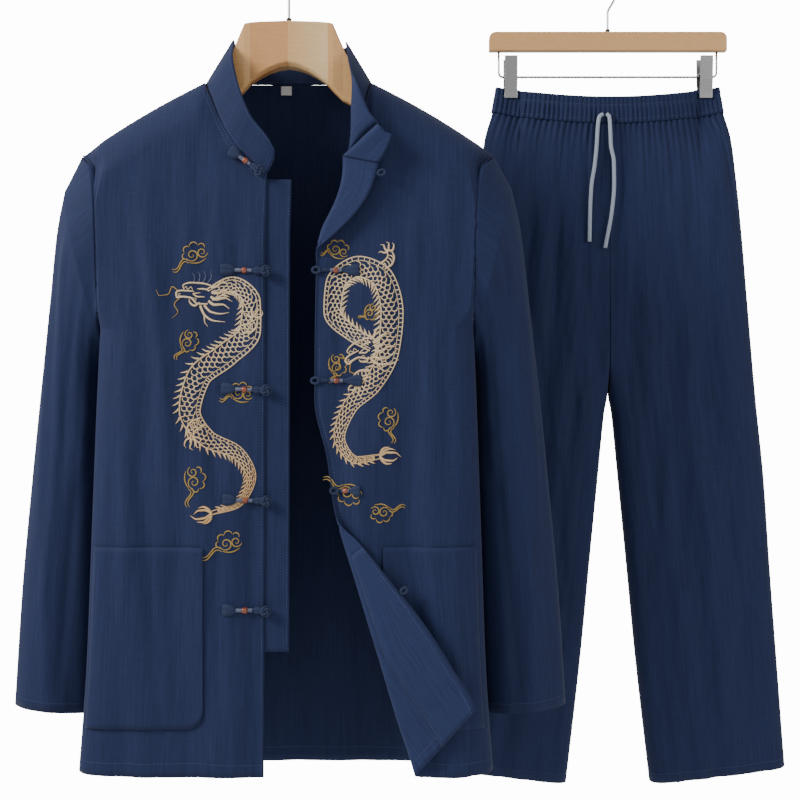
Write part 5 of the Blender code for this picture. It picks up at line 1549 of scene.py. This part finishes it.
def dragon(spine_points, widths, heading, head_size, flip, legs_at):
    """Strokes of a dragon along a curved spine: two outlines, staggered rows
    of scale arcs, a barred belly, a row of back fins, legs, tail and head."""
    spine = smooth_path(spine_points, 1.2)
    share = run_length(spine) / run_length(spine)[-1]
    half = curve_value(share, np.linspace(0, 1, len(widths)), widths)
    along = np.gradient(spine, axis=0)
    along /= np.linalg.norm(along, axis=1, keepdims=True)
    side = np.stack([-along[:, 1], along[:, 0]], axis=1) * flip

    def body(at, off):
        """Point at a length along the spine and a share of the half width."""
        middle, turn, reach = (np.stack([np.interp(at, run, line[:, axis]) for axis in range(2)], axis=-1)
                               for line in (spine, side, along))
        width = np.interp(at, run, half)
        return middle + turn * (off * width)[..., None], turn, reach, width

    run = run_length(spine)
    ivory = [(spine + side * half[:, None], 2.3 - 0.9 * share), (spine - side * half[:, None], 2.0 - 0.8 * share),
             (spine - side * half[:, None] * 0.62, 1.2 - 0.4 * share)]
    arc = np.radians(np.linspace(-100, 100, 11))
    for row, at in enumerate(np.arange(5.0, run[-1] - 8.0, 4.9)):
        lanes = (-0.22, 0.28, 0.76) if row % 2 else (0.03, 0.52)
        for lane in lanes:
            middle, turn, reach, width = body(np.array(at), np.array(lane))
            size = np.array([0.29 * width, 3.6])
            points = middle + np.outer(np.cos(arc) * size[1], reach) + np.outer(np.sin(arc) * size[0], turn)
            ivory.append((points, 0.8 + 0.8 * np.cos(arc / 1.3)))
        first, second = (body(np.array([at + 1.0]), np.array([off]))[0][0] for off in (-0.66, -0.96))
        ivory.append((np.linspace(first, second, 4), 1.3))
    for at in np.arange(8.0, run[-1] - 6.0, 6.4):
        root, turn, reach, width = body(np.array(at), np.array(1.08))
        tip = root + turn * (2.4 + 0.36 * width) + reach * 4.2
        ivory.append(stroke([root - reach * 1.5, root + turn * 1.6 + reach * 0.6, tip], 2.6, 2.0, 0.3, 0.8))
    for shift, reach_out in ((-50, 16), (-25, 20), (0, 24), (24, 19), (46, 15)):
        angle = math.degrees(math.atan2(along[-1, 1], along[-1, 0])) + shift
        bow = turned([(0, 0), (0.4, 0.12), (0.75, 0.05), (1, -0.2)], spine[-1], angle, reach_out,
                     1 if shift >= 0 else -1)
        ivory.append(stroke(bow, 2.2, 3.0, 0.4, 0.9))
    for at, out, degrees, size in legs_at:
        place = body(np.array(at * run[-1]), np.array(out))[0]
        ivory += motif(LEG_LINES, place, degrees, size, flip)
    ivory += motif(HEAD_LINES, spine[0], heading, head_size, -flip)
    circle = np.stack([np.cos(np.linspace(0, 2 * math.pi, 13)), np.sin(np.linspace(0, 2 * math.pi, 13))], axis=1)
    ivory.append((turned(circle * 0.05 + (0.43, 0.25), spine[0], heading, head_size, -flip), 0.9))
    gold = motif(WHISKERS, spine[0], heading, head_size, -flip)
    violet = motif(BEARD, spine[0], heading, head_size, -flip)
    return ivory, gold, violet


RIGHT_SPINE = [(-86, -416), (-60, -404), (-38, -424), (-40, -458), (-66, -484), (-98, -510), (-108, -548),
               (-88, -580), (-54, -596), (-38, -624), (-52, -654), (-82, -664)]
LEFT_SPINE = [(100, -474), (76, -460), (54, -436), (58, -402), (84, -384), (112, -398), (122, -436), (118, -480),
              (100, -518), (74, -544), (62, -578), (82, -604), (108, -600)]
right_art = dragon(RIGHT_SPINE, [7, 9, 12, 13.5, 12.5, 10, 7, 4, 2], 168, 36, -1,
                   [(0.24, 0.9, 20, 22), (0.60, -0.9, 215, 24)])
left_art = dragon(LEFT_SPINE, [7, 9, 11, 12, 12.5, 11, 8.5, 5.5, 2.5], 200, 34, -1,
                  [(0.36, -0.8, 45, 20), (0.66, 0.9, 200, 22)])
clouds = []
for place, degrees, size, flip, tail in (((-104, -372), 15, 7.5, 1, 0.8), ((-112, -470), 80, 6.5, -1, 0.7),
                                         ((-52, -530), -10, 7.0, 1, 0.6), ((-104, -628), 100, 7.5, -1, 0.8),
                                         ((-64, -700), 10, 7.5, 1, 1.0),
                                         ((58, -366), -20, 6.5, 1, 0.4), ((96, -436), 60, 5.0, -1, 0.4),
                                         ((58, -498), 100, 6.5, -1, 0.5), ((120, -560), 75, 7.0, 1, 0.7),
                                         ((72, -640), -10, 7.5, -1, 0.9), ((112, -662), 170, 6.5, 1, 0.8)):
    clouds += cloud(place, degrees, size, flip, tail)
for name, strokes, look, proud in (
        ("embroidery_right_dragon", right_art[0], ivory_look, 0.9),
        ("embroidery_left_dragon", left_art[0], ivory_look, 0.9),
        ("embroidery_whiskers", right_art[1] + left_art[1], gold_look, 0.8),
        ("embroidery_beards", right_art[2] + left_art[2], violet_look, 0.8),
        ("embroidery_clouds", clouds, gold_look, 0.7)):
    piece = joined(name, ribbons(strokes, proud), look)
    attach(piece, "root")


# Jacket hanger
# Solid beech, varnished, glued up from boards whose faces meet in a ridge in
# the middle and two breaks beside it. A steel hook is screwed in, with a
# small dark ferrule at its foot.
HANGER = {
    "x": [0, 12, 24, 34, 45, 52, 64, 80, 92, 104],
    "top": [-90, -90, -90, -90, -90.6, -92, -120, -146, -165, -173],
    "bottom": [-144.5, -146.5, -151, -156.5, -164, -172, -184, -192, -196, -200],
    "deep": [15, 13, 11, 9.5, 8, 8.4, 7, 7, 7, 8],
}
HANGER_ARM_X = [120, 140, 170, 200, 222]
HOOK_RADIUS = 19.0
WIRE = 3.2
wood_look = Look("beech_varnished", (0.52, 0.27, 0.10), 0.34, Coat_Weight=0.35, Coat_Roughness=0.18)
wood_x, wood_y, wood_z = wood_look.split(wood_look.object_place((1, 1, 1)))
grain = wood_look.noise(wood_look.object_place((60, 60, 900)), 4.0, 0.6)
flecks = wood_look.noise(wood_look.object_place((260, 80, 1500)), 2.0, 0.6)
# Each face of the bar gets its own painted light or shade by its place along x: the outer faces medium, the left
# middle face painted dark, and the right middle face painted bright, brightest towards its outer end as a painted
# glare.
facet_light_ramp = wood_look.ramp(wood_x * 5.0 + 0.5, [(0.0, (0.5, 0.5, 0.5)), (0.274, (0.5, 0.5, 0.5)),
                                            (0.276, (0.16, 0.16, 0.16)), (0.499, (0.2, 0.2, 0.2)),
                                            (0.501, (0.66, 0.66, 0.66)), (0.729, (0.95, 0.95, 0.95)),
                                            (0.731, (0.45, 0.45, 0.45))])
facet_light, _, _ = wood_look.split(facet_light_ramp)
# Painted face light mixed with the wood's own grain and flecks.
facet_light_and_grain = facet_light * 0.62 + grain * 0.25 + flecks * 0.13
wood_look.drive("Base Color", wood_look.ramp(facet_light_and_grain, [(0.12, (0.36, 0.155, 0.045)), (0.36, (0.50, 0.25, 0.085)),
                                                    (0.62, (0.66, 0.40, 0.17)), (0.9, (0.80, 0.60, 0.34))]))
wood_look.drive("Roughness", flecks * 0.2 + 0.26)
wood_look.bump(grain * 0.6 + flecks * 0.4, 0.00025, 0.5)
steel_look = Look("satin_steel", (0.42, 0.42, 0.43), 0.28, 1.0)
steel_look.drive("Roughness", steel_look.noise(steel_look.object_place((300, 300, 1400))) * 0.25 + 0.18)
dark_steel_look = Look("dark_ferrule", (0.06, 0.06, 0.06), 0.35, 1.0)
dark_steel_look.drive("Roughness", dark_steel_look.noise(dark_steel_look.object_place((500, 500, 500))) * 0.3
                      + 0.25)


def bevelled(made, width, segments=3):
    """Round the edges of a finished piece."""
    edges = made.modifiers.new("edges", "BEVEL")
    edges.width = width * MM
    edges.segments = segments
    edges.limit_method = "ANGLE"
    edges.angle_limit = math.radians(14)
    for polygon in made.data.polygons:
        polygon.use_smooth = False
    return made


def bar_sections():
    """Sections of the hanger along x: nine corners each, from the top round
    the front, the underside and the back."""
    half = list(zip(HANGER["x"], HANGER["top"], HANGER["bottom"], HANGER["deep"]))
    for x in HANGER_ARM_X:
        top = shoulder_z(x) - 1.9
        half.append((x, top, top - 32 + 12 * (x - 100) / 128, min(13.0, 9 + 0.2 * (222 - x))))
    whole = [(-x, top, bottom, deep) for x, top, bottom, deep in reversed(half[1:])] + half
    return np.array([[(x, 0, top), (x, -0.5 * deep, top - 0.8), (x, -deep, top - 3), (x, -deep, bottom + 4),
                      (x, -0.6 * deep, bottom), (x, 0.6 * deep, bottom), (x, deep, bottom + 4),
                      (x, deep, top - 3), (x, 0.5 * deep, top - 0.8)] for x, top, bottom, deep in whole])


sections = bar_sections()
bar_faces, bar_flat = ringed(*sections.shape[:2])
bar_ends = [list(range(9)), list(range(len(sections) * 9 - 1, (len(sections) - 1) * 9 - 1, -1))]
hanger = joined("wooden_hanger", [(sections.reshape(-1, 3), bar_faces.tolist() + bar_ends,
                                   np.zeros((bar_faces.size + 18, 2)))], wood_look)
bevelled(hanger, 1.2)
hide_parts("jacket_hanger")
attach(hanger, "root")


def hook_path(x, y, base_z, top_z):
    """Straight stem that swings aside into a round crook."""
    centre = top_z - HOOK_RADIUS
    points = [(x, y, base_z), (x, y, centre - 2.2 * HOOK_RADIUS),
              (x + 0.35 * HOOK_RADIUS, y, centre - 1.45 * HOOK_RADIUS)]
    for degrees in range(-35, 216, 10):
        angle = math.radians(degrees)
        points.append((x + HOOK_RADIUS * math.cos(angle), y, centre + HOOK_RADIUS * math.sin(angle)))
    return smooth_path(points, 1.5)


for name, node, x, y, base_z, top_z in (
        ("jacket_hook", "jacket_hook_wire", 0, 0, -90.7, WIRE / 2),
        ("trouser_hook", "trouser_hook_wire", LEG_CENTRE, LEG_Y, -50.7, 36.0)):
    hook = joined(name, [tube_parts(hook_path(x, y, base_z, top_z), WIRE / 2, 16)], steel_look)
    ferrule = joined(name + "_ferrule", [tube_parts([(x, y, base_z + 0.4), (x, y, base_z + 1.2),
                                                     (x, y, base_z + 4.4), (x, y, base_z + 5.0)],
                                                    np.array([3.4, 3.4, 3.0, 2.2]), 20)], dark_steel_look)
    for piece in (hook, ferrule):
        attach(piece, "root")
    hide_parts(node)


# Clip hanger
# A flat beech bar with rounded upper corners, a steel rod bent down from its
# ends, and two sprung steel clips over the rod that bite on the waistband.
BAR_LENGTH = 314.0
BAR_TOP_Z = -50.0
BAR_BOTTOM_Z = -75.5
BAR_THICKNESS = 12.0
BAR_CORNER = 9.0
ROD_Z = -109.0
ROD_HALF = 144.0
ROD_DIAMETER = 3.0
ROD_BEND = 6.0
CLIP_MIDDLE = 128.5
CLIP_WIDTH = 17.0
CLIP_BITE = 2.65
CLIP_TOP_Z = -83.0
CLIP_BOTTOM_Z = -138.0


def arc(centre_x, centre_y, radius, start, end, steps):
    """Points on an arc, in degrees."""
    angle = np.radians(np.linspace(start, end, steps))
    return [tuple(pair) for pair in np.stack([centre_x + radius * np.cos(angle),
                                              centre_y + radius * np.sin(angle)], axis=1)]


def plate(name, outline, thickness, place, axis, look):
    """Flat piece: an outline of (across, z) moved half its thickness both
    ways along x or y."""
    outline = np.asarray(outline, float)
    count = len(outline)
    rings = []
    for shift in (-thickness / 2, thickness / 2):
        flat, up = outline.T
        pair = (flat, shift + 0 * flat) if axis == "y" else (shift + 0 * flat, flat)
        rings.append(np.stack([place[0] + pair[0], place[1] + pair[1], up], axis=1))
    sides = [(i, (i + 1) % count, count + (i + 1) % count, count + i) for i in range(count)]
    faces = [list(range(count))[::-1], list(range(count, 2 * count))] + sides
    return joined(name, [(np.concatenate(rings), faces, np.zeros((2 * count + 4 * count, 2)))], look)


half_bar = BAR_LENGTH / 2
bar_outline = ([(-half_bar, BAR_BOTTOM_Z), (half_bar, BAR_BOTTOM_Z)]
               + arc(half_bar - BAR_CORNER, BAR_TOP_Z - BAR_CORNER, BAR_CORNER, 0, 90, 10)
               + arc(BAR_CORNER - half_bar, BAR_TOP_Z - BAR_CORNER, BAR_CORNER, 90, 180, 10))
clip_bar = bevelled(plate("clip_hanger_bar", bar_outline, BAR_THICKNESS, (LEG_CENTRE, LEG_Y), "y", wood_look), 1.5)
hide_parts("trouser_hanger")
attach(clip_bar, "root")
rod_left = [(-ROD_HALF, BAR_BOTTOM_Z - 0.3), (-ROD_HALF, -90.0), (-ROD_HALF, ROD_Z + ROD_BEND)]
rod_left += arc(ROD_BEND - ROD_HALF, ROD_Z + ROD_BEND, ROD_BEND, 180, 270, 8)[1:]
rod_path = [(LEG_CENTRE + x, LEG_Y, z) for x, z in rod_left + [(-x, z) for x, z in reversed(rod_left)]]
rod = joined("clip_hanger_rod", [tube_parts(rod_path, ROD_DIAMETER / 2, 16)], steel_look)
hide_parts("trouser_wire")
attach(rod, "root")
jaw = WAIST_PINCH + CLIP_BITE
bridge = ROD_Z + ROD_DIAMETER / 2 + 0.3
half_clip = [(2.6, bridge), (8.5, bridge), (8.5, ROD_Z - 6), (jaw, CLIP_BOTTOM_Z + 6), (jaw, CLIP_BOTTOM_Z),
             (jaw + 2, CLIP_BOTTOM_Z), (jaw + 2, CLIP_BOTTOM_Z + 7), (10.5, ROD_Z - 5), (10.5, bridge + 4),
             (12, CLIP_TOP_Z), (10, CLIP_TOP_Z), (8.5, bridge + 2.5), (2.6, bridge + 2.5)]
for word, middle in (("right", -CLIP_MIDDLE), ("left", CLIP_MIDDLE)):
    outline = half_clip + [(-y, z) for y, z in reversed(half_clip)]
    clip = bevelled(plate(f"waist_clip_{word}", outline, CLIP_WIDTH, (LEG_CENTRE + middle, LEG_Y), "x",
                          steel_look), 0.5, 2)
    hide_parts(f"clip_{word}")
    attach(clip, "root")
